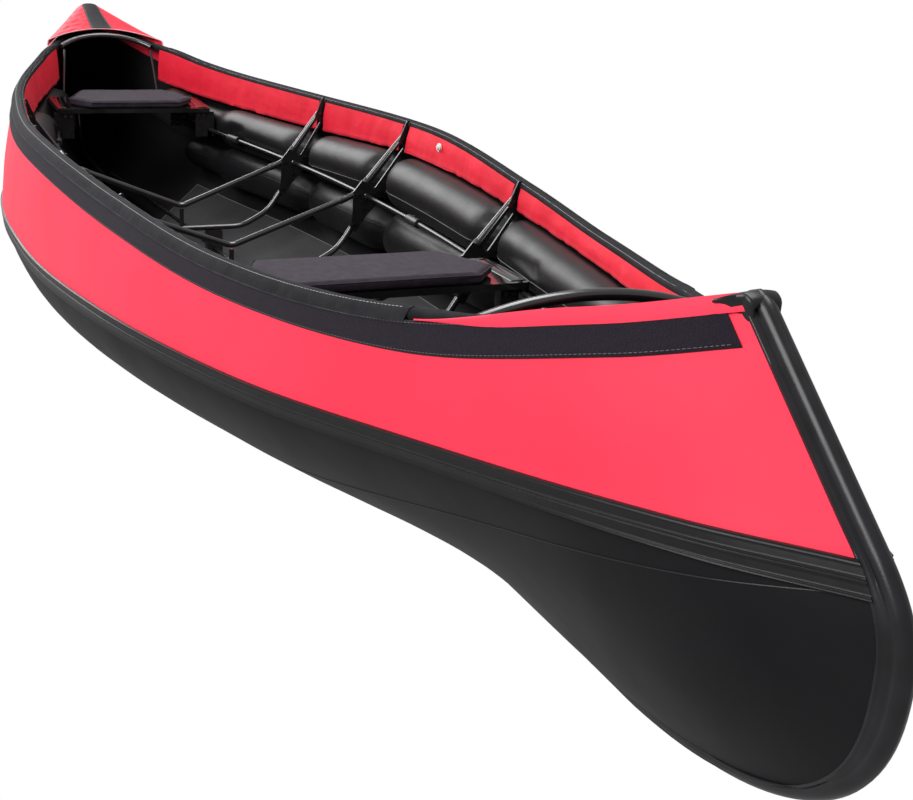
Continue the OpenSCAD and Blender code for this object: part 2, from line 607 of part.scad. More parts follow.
// Pad outline: long edges front and back, and pointed ends with their tips toward the front
function pad_outline(d, p) =
    [[d, p - 52], [d, 52 - p], [0.35 * d, -p], [-d, 56 - p], [-d, p - 56], [0.35 * d, p]];
module seat_pad(n) {
    d = board_d / 2;
    color(purple)
        seat_frame(n) translate([0, 0, 0.3]) {
            linear_extrude(pad_t - 5) polygon(pad_outline(d + 7, pad_half[n]));
            translate([0, 0, pad_t - 5]) linear_extrude(5) polygon(pad_outline(d, pad_half[n] - 8));
        }
}
hanger_t = 4;
notch_r = stringer_r + 1.4;
function hanger_top(n, end) =
    seat_top[n] - board_t - 0.5 - (end * (board_d / 2 - 12) + 2) * tan(seat_tilt[n]);
function hanger_x(n, end) = seat_x[n] + end * (board_d / 2 - 12);
module seat_hangers(n) {
    color(black)
        for (end = [-1, 1], side = [-1, 1]) {
            x = hanger_x(n, end);
            under = hanger_top(n, end);
            p = side_line(x / (1830 * kx));
            low = p[2] - 20;
            difference() {
                translate([x - hanger_t / 2, side > 0 ? p[1] - 42 : -p[1] - 12, low])
                    cube([hanger_t, 54, under - low]);
                translate([x - 5, side * p[1] - notch_r, low - 1]) cube([10, 2 * notch_r, 21]);
                translate([x - 5, side * p[1], p[2]]) rotate([0, 90, 0])
                    cylinder(r = notch_r, h = 10, $fn = 32);
            }
        }
}
module seat_bolts(n) {
    color("dimgray")
        for (end = [-1, 1], side = [-1, 1]) {
            x = hanger_x(n, end);
            p = side_line(x / (1830 * kx));
            for (d = [-34, -18])
                bolt_head([x + end * (hanger_t / 2 + 0.2) - (end < 0 ? 3 : 0), side * (p[1] + d),
                    hanger_top(n, end) - 9], 4, 3);
            seat_frame(n) translate([end * (board_d / 2 - 14), side * (seat_half[n] - 16), 0.2])
                cylinder(r = 5, h = 2.5, $fn = 24);
        }
}

hull_skin();
side_panel(1);  // side_panel_port
side_panel(-1);  // side_panel_starboard
rub_strake(1);  // rub_strake_port
rub_strake(-1);  // rub_strake_starboard
velcro_band(1);  // velcro_band_port
velcro_band(-1);  // velcro_band_starboard
gunwale_sleeve(1);  // gunwale_sleeve_port
gunwale_sleeve(-1);  // gunwale_sleeve_starboard
lining(1);  // lining_port
lining(-1);  // lining_starboard
bow_flap(1);  // bow_flap_port
bow_flap(-1);  // bow_flap_starboard
stem_band(1);  // bow_stem_band
stem_band(-1);  // stern_stem_band
stem_cap(1, 108);  // bow_stem_cap
stem_cap(-1, 50);  // stern_stem_cap
stern_deck();
stern_deck_strip();
air_tube(1, upper_v, -1430, 1430);  // upper_air_tube_port
air_tube(-1, upper_v, -1430, 1430);  // upper_air_tube_starboard
air_tube(1, lower_v, lower_air_stern, 1320);  // lower_air_tube_port
air_tube(-1, lower_v, lower_air_stern, 1320);  // lower_air_tube_starboard
valve_plug(1);  // valve_plug_port
valve_plug(-1);  // valve_plug_starboard
gunwale_tube(1);  // gunwale_tube_port
gunwale_tube(-1);  // gunwale_tube_starboard
stringer(1, function (s) side_line(s), 0.8, 12);  // side_stringer_port
stringer(-1, function (s) side_line(s), 0.8, 12);  // side_stringer_starboard
stringer(1, function (s) bottom_line(s), 1, 12);  // bottom_stringer_port
stringer(-1, function (s) bottom_line(s), 1, 12);  // bottom_stringer_starboard
stem_post(1);  // bow_stem_post
stem_post(-1);  // stern_stem_post
stringer_connectors();
spring_buttons();
arch(1, 22, 0);  // bow_arch
arch(-1, 58, -59);  // stern_arch
arch_struts();
floor_mat();
rib_cross_bar(0);  // stern_rib_cross_bar
rib_cross_bar(1);  // middle_rib_cross_bar
rib_cross_bar(2);  // bow_rib_cross_bar
rib_floor_bar(0);  // stern_rib_floor_bar
rib_floor_bar(1);  // middle_rib_floor_bar
rib_floor_bar(2);  // bow_rib_floor_bar
rib_side_plates(0);  // stern_rib_side_plates
rib_side_plates(1);  // middle_rib_side_plates
rib_side_plates(2);  // bow_rib_side_plates
rib_clips();
rib_bolts();
seat_board(1);  // bow_seat_board
seat_pad(1);  // bow_seat_pad
seat_hangers(1);  // bow_seat_hangers
seat_bolts(1);  // bow_seat_bolts
seat_board(0);  // stern_seat_board
seat_pad(0);  // stern_seat_pad
seat_hangers(0);  // stern_seat_hangers
seat_bolts(0);  // stern_seat_bolts
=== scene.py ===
"""Folding two-seat canoe: fabric skin, air tubes, tube frame, two seats and a stern deck."""
import math
from functools import lru_cache

import bmesh
import bpy
from mathutils import Matrix, Vector, noise


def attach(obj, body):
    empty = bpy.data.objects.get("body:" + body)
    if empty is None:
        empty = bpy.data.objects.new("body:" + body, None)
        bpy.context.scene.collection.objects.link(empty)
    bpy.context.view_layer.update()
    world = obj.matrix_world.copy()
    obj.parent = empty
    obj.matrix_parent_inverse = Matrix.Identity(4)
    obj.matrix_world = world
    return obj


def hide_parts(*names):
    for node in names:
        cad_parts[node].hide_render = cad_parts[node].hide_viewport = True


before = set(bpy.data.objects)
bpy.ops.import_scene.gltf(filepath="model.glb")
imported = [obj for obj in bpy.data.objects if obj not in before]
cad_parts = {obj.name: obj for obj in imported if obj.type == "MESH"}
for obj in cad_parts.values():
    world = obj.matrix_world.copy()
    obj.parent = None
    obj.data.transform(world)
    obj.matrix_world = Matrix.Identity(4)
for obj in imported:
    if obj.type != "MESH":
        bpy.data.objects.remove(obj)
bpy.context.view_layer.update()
MM = 0.001
BOAT = "boat"

# ---------------- hull lines; lengths are in millimetres unless a comment says otherwise
GUNWALE_Y = ((0, 450), (600, 402), (1100, 318), (1500, 190), (1860, 16))
GUNWALE_Z_BOW = ((0, 435), (600, 412), (1000, 400), (1400, 424), (1700, 494), (1860, 545))
GUNWALE_Z_STERN = ((0, 435), (900, 430), (1300, 447), (1600, 500), (1860, 578))
SEAM_Y = ((0, 474), (600, 437), (1100, 332), (1500, 212), (1900, 94), (2075, 16))
SEAM_Z_BOW = ((0, 231), (600, 252), (1100, 267), (1500, 299), (2075, 363))
SEAM_Z_STERN = ((0, 231), (600, 210), (1100, 202), (1500, 232), (2075, 363))
FULLNESS = ((0, 2.45), (0.45, 1.75), (0.75, 1.15), (1, 1.6))
GUNWALE_END, SEAM_END = 1860, 2075      # x at which both lines reach the stems
STEM_FULL = 270                         # height of the foremost point of a stem
BAND_D, SLEEVE_R = 26, 11.5             # depth of the stem guard, radius of the gunwale sleeve
PANEL_T, SKIN_T = 2.5, 3                # thickness of the red panels and of the black skin
RIBS = (-580, -112, 552)
CONNECTORS = (-950, 190)                # x of the side stringers' connectors
SEATS = {
    "stern": dict(x=-1190, top=357, tilt=3.4, half=214, pad=182),
    "bow": dict(x=735, top=303, tilt=0.0, half=277, pad=236),
}
AIR_R, NECK = 68, 0.36                  # air tube radius, and its share lost at a rib
UPPER, LOWER = 1.44, 0.88               # v of the air tubes' middles
SIDE_REACH, BOTTOM_REACH = 1830, 1600   # x at the ends of the stringers' curves
MAT_EDGE = 0.568                        # v of the floor mat's long edges
SIDES = ((1, "port"), (-1, "starboard"))
ENDS = ((1, "bow"), (-1, "stern"))


def line_at(p, x):
    """Smooth curve through the points p, at x."""
    i = 0
    while i < len(p) - 2 and x >= p[i + 1][0]:
        i += 1

    def slope(k):
        if k <= 0:
            return 0
        if k >= len(p) - 1:
            return (p[k][1] - p[k - 1][1]) / (p[k][0] - p[k - 1][0])
        return (p[k + 1][1] - p[k - 1][1]) / (p[k + 1][0] - p[k - 1][0])

    h = p[i + 1][0] - p[i][0]
    t = (x - p[i][0]) / h
    return ((2 * t ** 3 - 3 * t * t + 1) * p[i][1] + (t ** 3 - 2 * t * t + t) * h * slope(i)
            + (3 * t * t - 2 * t ** 3) * p[i + 1][1] + (t ** 3 - t * t) * h * slope(i + 1))


def mix(a, b, t):
    return a + (b - a) * t


def ease(t):
    k = max(0.0, min(1.0, t))
    return k * k * (3 - 2 * k)


def gz(s):
    """Gunwale height; s runs from -1 at the stern to 1 at the bow."""
    return line_at(GUNWALE_Z_STERN if s < 0 else GUNWALE_Z_BOW, abs(s) * GUNWALE_END)


def sz(s):
    """Height of the side seam."""
    return line_at(SEAM_Z_STERN if s < 0 else SEAM_Z_BOW, abs(s) * SEAM_END)


def gy(s):
    """Half width at the gunwale."""
    return line_at(GUNWALE_Y, abs(s) * GUNWALE_END)


def sy(s):
    """Half width at the side seam."""
    return line_at(SEAM_Y, abs(s) * SEAM_END)


def stem_x(z):
    """Outermost x of the stems at a height."""
    if z < STEM_FULL:
        return 1600 + 525 * (1 - (1 - max(z, 0) / STEM_FULL) ** 2.55) ** (1 / 2.55)
    d = z - STEM_FULL
    return 2125 - (1.15 * d * d / 200 if d < 100 else 1.15 * (d - 50))


def cosd(a):
    return math.cos(math.radians(a))


def sind(a):
    return math.sin(math.radians(a))


def low_z(top, e, v):
    """Height of the lower skin, which is 0 along the keel and top at the seam."""
    return max(0.0, top * (1 - max(cosd(90 * v), 0) ** (2 / e)) - (1 - v))


@lru_cache(maxsize=None)
def end_x(d, v):
    if v <= 1:
        x = stem_x(low_z(sz(d), 1.6, v))
    else:
        x = mix(stem_x(sz(d)), stem_x(gz(d)), v - 1)
    return x - BAND_D - 0.5


@lru_cache(maxsize=None)
def skin(s, v):
    """Outer face of the port half: v is 0 at the keel, 1 at the side seam and 2 at the gunwale."""
    e = line_at(FULLNESS, abs(s))
    x = s * end_x(-1 if s < 0 else 1, v)
    if v <= 1:
        return Vector((x, sy(s) * max(sind(90 * v), 0) ** (2 / e), low_z(sz(s), e, v)))
    belly = 7 * sind(180 * (v - 1)) * (1 - s * s)
    return Vector((x, mix(sy(s), gy(s), v - 1) + belly, mix(sz(s), gz(s), v - 1)))


@lru_cache(maxsize=None)
def outward(s, v):
    """Unit normal of the port half."""
    if v < 0.01:
        return Vector((0, 0, -1))
    a, b = max(v - 0.02, 0), min(v + 0.02, 1 if v < 1 else 2.1)
    c = min(abs(s), 0.97) * (1 if s > 0 else -1 if s < 0 else 0)
    return (skin(c, b) - skin(c, a)).cross(skin(c + 0.02, v) - skin(c - 0.02, v)).normalized()


def on_skin(s, v, d):
    """Point at a distance d outside the skin; a negative v is on the starboard side."""
    a = skin(s, abs(v))
    p = a + d * outward(s, abs(v))
    y = max(p.y, 0.4 * a.y)
    return Vector((p.x, -y if v < 0 else y, p.z))


def below(s, d):
    """v of the panel at a depth d under the gunwale."""
    return 2 - d / (gz(s) - sz(s))


def seam_v(s, d):
    """v of the lower skin at a depth d under the side seam."""
    e, top = line_at(FULLNESS, abs(s)), sz(s)
    return 1.0 if d <= 0 else math.degrees(math.acos(min(1, (d / top) ** (e / 2)))) / 90


def sided(p, side):
    return Vector((p[0], side * p[1], p[2]))


def gunwale_c(s):
    """Middle of the gunwale tube, which dips under the decks at both ends."""
    p = skin(s, 2)
    return Vector((p.x, p.y - SLEEVE_R - PANEL_T - 1, p.z + 6 - 12 * ease((abs(s) - 0.76) / 0.1)))


def s_at(x, v):
    """s of the point of the skin that is at x."""
    return x / end_x(1 if x > 0 else -1, v)


def tube_radius(s, v):
    return AIR_R * (0.93 if v > 1 else 0.95) * (1 - (0.8 if s > 0 else 0.35) * s * s)


def press(x):
    """How far the ribs and the stern seat pinch the air tubes, from 0 to 1."""
    ribs = [math.exp(-((x - r - 4) / 48) ** 2) for r in RIBS]
    return max(ribs + [0.85 * math.exp(-((x - SEATS["stern"]["x"]) / 125) ** 4)])


def air_centre(x, v):
    """Middle and radius of an air tube."""
    s = s_at(x, v)
    w = v if v > 1 else v - 0.25 * s * s
    r = tube_radius(s, w) * (1 - NECK * press(x))
    c = on_skin(s, w, -r - SKIN_T - 3)
    return Vector((x, c.y, c.z)), r


def flats(x, v):
    """Directions and distances at which a tube is pressed flat, as in the CAD."""
    (c, r), (o, k) = air_centre(x, v), air_centre(x, UPPER + LOWER - v)
    c, d = Vector((c.y, c.z)), Vector((o.y - c.y, o.z - c.z))
    out = [(d.normalized(), (d.length_squared + r * r - k * k) / d.length / 2 - 0.8)]
    if v > 1:
        q = side_line(x / SIDE_REACH)
        e = Vector((q.y - c.x, q.z - c.y))
        near = min(abs(x - k) for k in CONNECTORS)
        out.append((e.normalized(), e.length - max(7.5, 15 - 0.4 * max(0, near - 34))))
        for seat in SEATS.values():
            room = max(seat["half"] + 3, q.y + 15)
            out.append((Vector((-1, 0)), c.x - room + 2 * max(0, abs(x - seat["x"]) - 112)))
    return out


def side_line(s):
    return Vector((s * SIDE_REACH, (0.68 - 0.1 * s * s) * sy(s * SIDE_REACH / 2100), 278 + 80 * s ** 4))


def bottom_line(s):
    return Vector((s * BOTTOM_REACH, 87 - 66 * abs(s) ** 3, 60 + 20 * s ** 4))


def rough(p, scale, seed=0.0):
    """Smooth noise, the same on each run."""
    return noise.noise(Vector((p[0] * scale + seed, p[1] * scale - seed, p[2] * scale + 2 * seed)))


# ---------------- mesh tools
def add(name, data):
    ob = bpy.data.objects.new(name, data)
    bpy.context.scene.collection.objects.link(ob)
    return ob


def make(name, verts, faces, mat, body=BOAT, sharp=40.0):
    """Smooth-shaded object from vertices in millimetres, riding on a body."""
    me = bpy.data.meshes.new(name)
    me.from_pydata([tuple(Vector(v) * MM) for v in verts], [], faces)
    ob = add(name, me)
    bm = bmesh.new()
    bm.from_mesh(me)
    bmesh.ops.recalc_face_normals(bm, faces=bm.faces)
    bm.to_mesh(me)
    bm.free()
    me.shade_smooth()
    me.set_sharp_from_angle(angle=math.radians(sharp))
    me.materials.append(mat)
    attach(ob, body)
    return ob


def shell_data(outer, inner):
    """Closed shell between two grids of points."""
    n, m = len(outer), len(outer[0])
    k = n * m
    f = []

    def at(i, j):
        return i * m + j

    for i in range(n - 1):
        for j in range(m - 1):
            f.append((at(i, j), at(i + 1, j), at(i + 1, j + 1), at(i, j + 1)))
            f.append((k + at(i, j), k + at(i, j + 1), k + at(i + 1, j + 1), k + at(i + 1, j)))
    for i in range(n - 1):
        f.append((at(i, 0), k + at(i, 0), k + at(i + 1, 0), at(i + 1, 0)))
        f.append((at(i, m - 1), at(i + 1, m - 1), k + at(i + 1, m - 1), k + at(i, m - 1)))
    for j in range(m - 1):
        f.append((at(0, j), at(0, j + 1), k + at(0, j + 1), k + at(0, j)))
        f.append((at(n - 1, j), k + at(n - 1, j), k + at(n - 1, j + 1), at(n - 1, j + 1)))
    return [p for row in outer for p in row] + [p for row in inner for p in row], f


def shell(name, outer, inner, mat, body=BOAT, sharp=40.0):
    v, f = shell_data(outer, inner)
    return make(name, v, f, mat, body, sharp)


def rings_data(rings):
    """Closed tube through rings of points, with flat ends."""
    n, m = len(rings), len(rings[0])
    f = [(i * m + j, i * m + (j + 1) % m, (i + 1) * m + (j + 1) % m, (i + 1) * m + j)
         for i in range(n - 1) for j in range(m)]
    f.append(tuple(range(m))[::-1])
    f.append(tuple((n - 1) * m + j for j in range(m)))
    return [p for r in rings for p in r], f


def join_data(parts):
    verts, faces = [], []
    for v, f in parts:
        b = len(verts)
        verts += v
        faces += [tuple(i + b for i in q) for q in f]
    return verts, faces


def sweep(path, radius, seg=16):
    """Rings along a path; radius is a number or a function of (index, angle)."""
    rings, last = [], None
    n = len(path)
    for i, p in enumerate(path):
        t = (path[min(i + 1, n - 1)] - path[max(i - 1, 0)]).normalized()
        if last is None:
            ref = Vector((0, 0, 1)) if abs(t.z) < 0.9 else Vector((1, 0, 0))
            a = t.cross(ref).normalized()
        else:
            a = (last - t * last.dot(t)).normalized()
        last = a
        b = t.cross(a)
        ring = []
        for j in range(seg):
            h = 2 * math.pi * j / seg
            r = radius(i, h) if callable(radius) else radius
            ring.append(p + r * (math.cos(h) * a + math.sin(h) * b))
        rings.append(ring)
    return rings


def tube_obj(name, paths, radius, mat, seg=16, body=BOAT):
    parts = [rings_data(sweep(p, radius, seg)) for p in paths]
    v, f = join_data(parts)
    return make(name, v, f, mat, body, 50)


def cloth_area(rows):
    """Area in square metres of a grid of points in millimetres."""
    return sum((r2[j] - r1[j]).cross(r1[j + 1] - r1[j]).length * MM * MM
               for r1, r2 in zip(rows, rows[1:]) for j in range(len(r1) - 1))


def resample(path, step):
    out = [path[0]]
    for a, b in zip(path, path[1:]):
        n = max(1, round((b - a).length / step))
        out += [a.lerp(b, k / n) for k in range(1, n + 1)]
    return out


def stitches(name, lines, mat, length=4.2, pitch=6.5, width=0.9, height=0.5, body=BOAT):
    """Thread dashes along lines of (point, normal)."""
    verts, faces = [], []
    for line in lines:
        done = 0.0
        for (p, n), (q, _) in zip(line, line[1:]):
            seg = (q - p).length
            while done < seg:
                t = (q - p).normalized()
                c = p + t * done
                a, b = c - t * length / 2, c + t * length / 2
                w, u = t.cross(n).normalized() * width / 2, n * height
                k = len(verts)
                verts += [a - w, a + w, b + w, b - w, a + u * 0.4, c + u, b + u * 0.4]
                faces += [(k, k + 1, k + 4), (k + 2, k + 3, k + 6), (k + 1, k + 2, k + 6, k + 5, k + 4),
                          (k + 3, k, k + 4, k + 5, k + 6), (k, k + 3, k + 2, k + 1)]
                done += pitch
            done -= seg
    return make(name, verts, faces, mat, body, 80)


# ---------------- materials
WAVE_TURN = 6.283      # radians in one wave of the weave


def material(name, base, dark, spots=18.0, roughness=0.5, spread=0.0, metallic=0.0, bumps=(), sheen=0.0,
             coat=0.0, coat_rough=0.1, weave=0.0, weave_scale=900.0, specular=0.5):
    """Principled surface with colour mottling, roughness spread, an optional weave and stacked noise bumps.

    Each bump is (scale, strength, distance) and may add a stretch along x, y and z.
    """
    mat = bpy.data.materials.new(name)
    mat.use_nodes = True
    nt = mat.node_tree
    nodes, links = nt.nodes, nt.links
    bsdf = nodes["Principled BSDF"]
    bsdf.inputs["Metallic"].default_value = metallic
    bsdf.inputs["Specular IOR Level"].default_value = specular
    bsdf.inputs["Sheen Weight"].default_value = sheen
    bsdf.inputs["Sheen Roughness"].default_value = 0.5
    bsdf.inputs["Coat Weight"].default_value = coat
    bsdf.inputs["Coat Roughness"].default_value = coat_rough
    coord = nodes.new("ShaderNodeTexCoord").outputs["Object"]

    def tex(scale, detail=4.0, stretch=None):
        t = nodes.new("ShaderNodeTexNoise")
        t.inputs["Scale"].default_value = scale
        t.inputs["Detail"].default_value = detail
        if stretch:
            m = nodes.new("ShaderNodeMapping")
            m.inputs["Scale"].default_value = stretch
            links.new(coord, m.inputs["Vector"])
            links.new(m.outputs["Vector"], t.inputs["Vector"])
        else:
            links.new(coord, t.inputs["Vector"])
        return t

    ramp = nodes.new("ShaderNodeValToRGB")
    ramp.color_ramp.elements[0].position = 0.3
    ramp.color_ramp.elements[1].position = 0.7
    ramp.color_ramp.elements[0].color = (*dark, 1)
    ramp.color_ramp.elements[1].color = (*base, 1)
    links.new(tex(spots).outputs["Fac"], ramp.inputs["Fac"])
    colour = ramp.outputs["Color"]
    height = None
    if weave:
        waves = []
        for axis in ("X", "Z"):
            w = nodes.new("ShaderNodeTexWave")
            w.wave_type, w.bands_direction = "BANDS", axis
            w.inputs["Scale"].default_value = weave_scale / WAVE_TURN
            w.inputs["Distortion"].default_value = 0.6
            w.inputs["Detail Scale"].default_value = 2.0
            links.new(coord, w.inputs["Vector"])
            waves.append(w.outputs["Fac"])
        mul = nodes.new("ShaderNodeMath")
        mul.operation = "MAXIMUM"
        links.new(waves[0], mul.inputs[0])
        links.new(waves[1], mul.inputs[1])
        shade = nodes.new("ShaderNodeMix")
        shade.data_type, shade.blend_type = "RGBA", "MULTIPLY"
        shade.inputs["Factor"].default_value = weave
        links.new(colour, shade.inputs["A"])
        links.new(mul.outputs[0], shade.inputs["B"])
        colour = shade.outputs["Result"]
        bump = nodes.new("ShaderNodeBump")
        bump.inputs["Strength"].default_value = 0.35
        bump.inputs["Distance"].default_value = 0.0006
        links.new(mul.outputs[0], bump.inputs["Height"])
        height = bump
    for scale, strength, distance, *stretch in bumps:
        bump = nodes.new("ShaderNodeBump")
        bump.inputs["Strength"].default_value = strength
        bump.inputs["Distance"].default_value = distance
        links.new(tex(scale, 5.0, *stretch).outputs["Fac"], bump.inputs["Height"])
        if height:
            links.new(height.outputs["Normal"], bump.inputs["Normal"])
        height = bump
    if height:
        links.new(height.outputs["Normal"], bsdf.inputs["Normal"])
    links.new(colour, bsdf.inputs["Base Color"])
    if spread:
        rr = nodes.new("ShaderNodeMapRange")
        rr.inputs["To Min"].default_value = max(roughness - spread, 0.02)
        rr.inputs["To Max"].default_value = roughness + spread
        links.new(tex(spots * 2.3).outputs["Fac"], rr.inputs["Value"])
        links.new(rr.outputs["Result"], bsdf.inputs["Roughness"])
    else:
        bsdf.inputs["Roughness"].default_value = roughness
    return mat


M = {
    "hull": material("hull_pvc", (0.009, 0.009, 0.010), (0.006, 0.006, 0.007), 5, 0.46, 0.06,
                     bumps=((3.2, 0.25, 0.010, (0.4, 1, 1)), (600, 0.10, 0.0003)), specular=0.10),
    "panel": material("red_panel", (0.88, 0.033, 0.074), (0.84, 0.027, 0.062), 4, 0.55, 0.06, specular=0.16,
                      bumps=((5, 0.18, 0.006, (0.5, 1, 1)), (700, 0.10, 0.0004)), sheen=0.04),
    # painted shade: black for the panels' inner faces, standing in for the shade inside the hull
    "inside": material("panel_inside", (0.012, 0.012, 0.013), (0.008, 0.008, 0.009), 6, 0.5, 0.06,
                       bumps=((12, 0.3, 0.006),), specular=0.25),
    "lining": material("red_lining", (0.80, 0.020, 0.046), (0.68, 0.012, 0.032), 9, 0.52, 0.06, weave=0.06,
                       bumps=((22, 0.35, 0.005, (0.6, 1, 1.6)),), sheen=0.02, specular=0.14),
    "deck": material("red_deck", (0.80, 0.022, 0.050), (0.62, 0.012, 0.032), 11, 0.48, 0.06, weave=0.06,
                     bumps=((14, 0.45, 0.008, (1.8, 0.6, 1)),), sheen=0.02, specular=0.16),
    "binding": material("pale_binding", (0.80, 0.42, 0.46), (0.62, 0.26, 0.30), 60, 0.6, weave=0.3,
                        weave_scale=1600, bumps=((500, 0.3, 0.0005),)),
    "webbing": material("black_webbing", (0.010, 0.010, 0.015), (0.006, 0.006, 0.009), 40, 0.6, 0.06,
                        weave=0.5, weave_scale=1400, bumps=((400, 0.4, 0.0006),), sheen=0.02,
                        specular=0.15),
    "strake": material("ribbed_rubber", (0.012, 0.012, 0.013), (0.010, 0.010, 0.011), 30, 0.34, 0.08,
                       bumps=((260, 0.12, 0.0005),), specular=0.2),
    "band": material("stem_rubber", (0.014, 0.014, 0.016), (0.008, 0.008, 0.009), 22, 0.30, 0.08,
                     bumps=((26, 0.16, 0.002, (1, 1, 0.4)), (420, 0.1, 0.0004)), coat=0.08,
                     coat_rough=0.25, specular=0.28),
    "loop": material("loop_tape", (0.016, 0.011, 0.019), (0.006, 0.004, 0.008), 620, 0.9, 0.05,
                     bumps=((1100, 0.9, 0.0012), (380, 0.6, 0.0012)), sheen=0.08, specular=0.12),
    "sleeve": material("sleeve_fabric", (0.015, 0.015, 0.018), (0.007, 0.007, 0.009), 42, 0.75, 0.06,
                       weave=0.45, weave_scale=1300, sheen=0.02, specular=0.12,
                       bumps=((60, 0.4, 0.003), (700, 0.3, 0.0006))),
    "thread": material("thread", (0.42, 0.40, 0.42), (0.28, 0.27, 0.29), 300, 0.6,
                       bumps=((1500, 0.4, 0.0003),)),
    "dark_thread": material("dark_thread", (0.09, 0.08, 0.09), (0.05, 0.045, 0.05), 300, 0.6,
                            bumps=((1500, 0.4, 0.0003),)),
    "air": material("air_tube_pvc", (0.009, 0.009, 0.010), (0.006, 0.006, 0.007), 7, 0.40, 0.07,
                    bumps=((9, 0.32, 0.008, (0.7, 1, 1)), (40, 0.14, 0.002, (1, 0.4, 0.4)),
                           (800, 0.08, 0.0003)), specular=0.24),
    "tube": material("black_tube", (0.020, 0.020, 0.022), (0.012, 0.012, 0.013), 30, 0.22, 0.05,
                     bumps=((300, 0.05, 0.0003, (0.2, 1, 1)),), coat=0.6, coat_rough=0.12, specular=0.6),
    "plate": material("black_plate", (0.012, 0.012, 0.013), (0.008, 0.008, 0.009), 40, 0.27, 0.06,
                      bumps=((350, 0.10, 0.0003),), coat=0.15, coat_rough=0.2, specular=0.35),
    "plastic": material("black_plastic", (0.020, 0.020, 0.021), (0.012, 0.012, 0.013), 60, 0.42, 0.06,
                        bumps=((900, 0.18, 0.0003),)),
    "steel": material("bright_steel", (0.62, 0.62, 0.60), (0.50, 0.50, 0.49), 80, 0.24, 0.06, metallic=1.0,
                      bumps=((500, 0.10, 0.0002, (0.2, 1, 1)),)),
    "bolt": material("dark_bolt", (0.16, 0.16, 0.16), (0.09, 0.09, 0.09), 160, 0.30, 0.08, metallic=1.0,
                     bumps=((600, 0.15, 0.0003),)),
    "mat": material("foam_mat", (0.034, 0.034, 0.036), (0.024, 0.024, 0.026), 14, 0.72, 0.05,
                    bumps=((900, 0.5, 0.0006), (7, 0.2, 0.004)), sheen=0.03, specular=0.2),
    "mat_edge": material("mat_edge", (0.12, 0.12, 0.125), (0.08, 0.08, 0.085), 90, 0.7,
                         bumps=((900, 0.4, 0.0005),)),
    "board": material("gloss_board", (0.011, 0.011, 0.011), (0.008, 0.008, 0.008), 8, 0.09, 0.03, coat=0.7,
                      coat_rough=0.05, bumps=((5, 0.05, 0.002),), specular=0.6),
    "pad": material("pad_fabric", (0.040, 0.031, 0.045), (0.024, 0.018, 0.028), 55, 0.85, 0.05,
                    weave=0.45, weave_scale=1500, sheen=0.05, specular=0.15,
                    bumps=((35, 0.25, 0.003), (900, 0.35, 0.0006))),
    "white": material("white_plastic", (0.80, 0.80, 0.77), (0.70, 0.70, 0.67), 90, 0.35, 0.05,
                      bumps=((500, 0.1, 0.0003),)),
    "floor": material("white_floor", (0.0, 0.0, 0.0), (0.0, 0.0, 0.0), 2, 0.9, specular=0.0),
}

glow = M["floor"].node_tree.nodes["Principled BSDF"].inputs
glow["Emission Color"].default_value, glow["Emission Strength"].default_value = (1, 1, 1, 1), 1.0


def finish_cad(node, mat, bevel=0.0):
    """Give a CAD node its material and rounded edges."""
    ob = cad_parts[node]
    if isinstance(ob, str):
        ob = bpy.data.objects[ob]
    for slot in ob.material_slots:
        slot.material = mat
    if not ob.material_slots:
        ob.data.materials.append(mat)
    if bevel:
        b = ob.modifiers.new("edge", "BEVEL")
        b.width, b.segments, b.limit_method, b.angle_limit = bevel * MM, 2, "ANGLE", math.radians(35)
        b.harden_normals = True
    return ob


# ---------------- skin and panels
def span(a, b, n):
    return [a + (b - a) * i / n for i in range(n + 1)]


STATIONS = span(-1, 1, 180)


def hull_skin():
    vs = [0.99 * math.sin(math.pi / 2 * t) for t in span(0, 1, 26)]
    rows = [-v for v in vs[:0:-1]] + vs
    outer = [[on_skin(s, v, 0) for v in rows] for s in STATIONS]
    inner = [[on_skin(s, v, -SKIN_T) for v in rows] for s in STATIONS]
    for row in outer:
        for p in row:
            p.z = max(p.z, 0)
    ob = shell("hull_fabric", outer, inner, M["hull"])
    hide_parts("hull_skin")
    # welded seams that leave the strake near each stem and run down toward the keel
    lines = [[sided(on_skin(d * s, seam_v(d * s, 30 + 270 * (1 - s)), 0.2), side)
              for s in span(0.52, 0.992, 120)] for d in (1, -1) for side in (1, -1)]
    ob = tube_obj("hull_seams", lines, 0.9, M["strake"], 6)


def side_panels():
    lip, deck_end, bow_end = 9.0, -1.46, 1.75
    for side, word in SIDES:
        outer, inner = [], []
        for s in STATIONS:
            vs = [seam_v(s, d) for d in (lip, lip * 0.66, lip * 0.33)] + span(1.01, 2.0, 22)
            outer.append([sided(on_skin(s, v, (0.9 if v < 1 else mix(0.9, 0, min(1, (v - 1) * 8)))
                                        + 0.35 * rough(skin(s, v), 0.02, 3)), side) for v in vs])
            inner.append([sided(on_skin(s, v, 0.15 if v < 1 else -PANEL_T), side) for v in vs])
        ob = shell("panel_fabric_" + word, outer, inner, M["panel"])
        # painted shade: the inner faces are black where the inside of the hull lies in shade, except for a
        # band under the stern deck and the bow end, which keep the red
        ob.data.materials.append(M["inside"])
        for p in ob.data.polygons:
            s = max(-1, p.center.x / MM / end_x(-1, 2))
            share = (p.center.z / MM - sz(s)) / (gz(s) - sz(s))
            under_deck = p.center.x < deck_end and share > 0.72
            if p.normal.y * side < -0.3 and p.center.x < bow_end and not under_deck:
                p.material_index = 1
        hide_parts("side_panel_" + word)


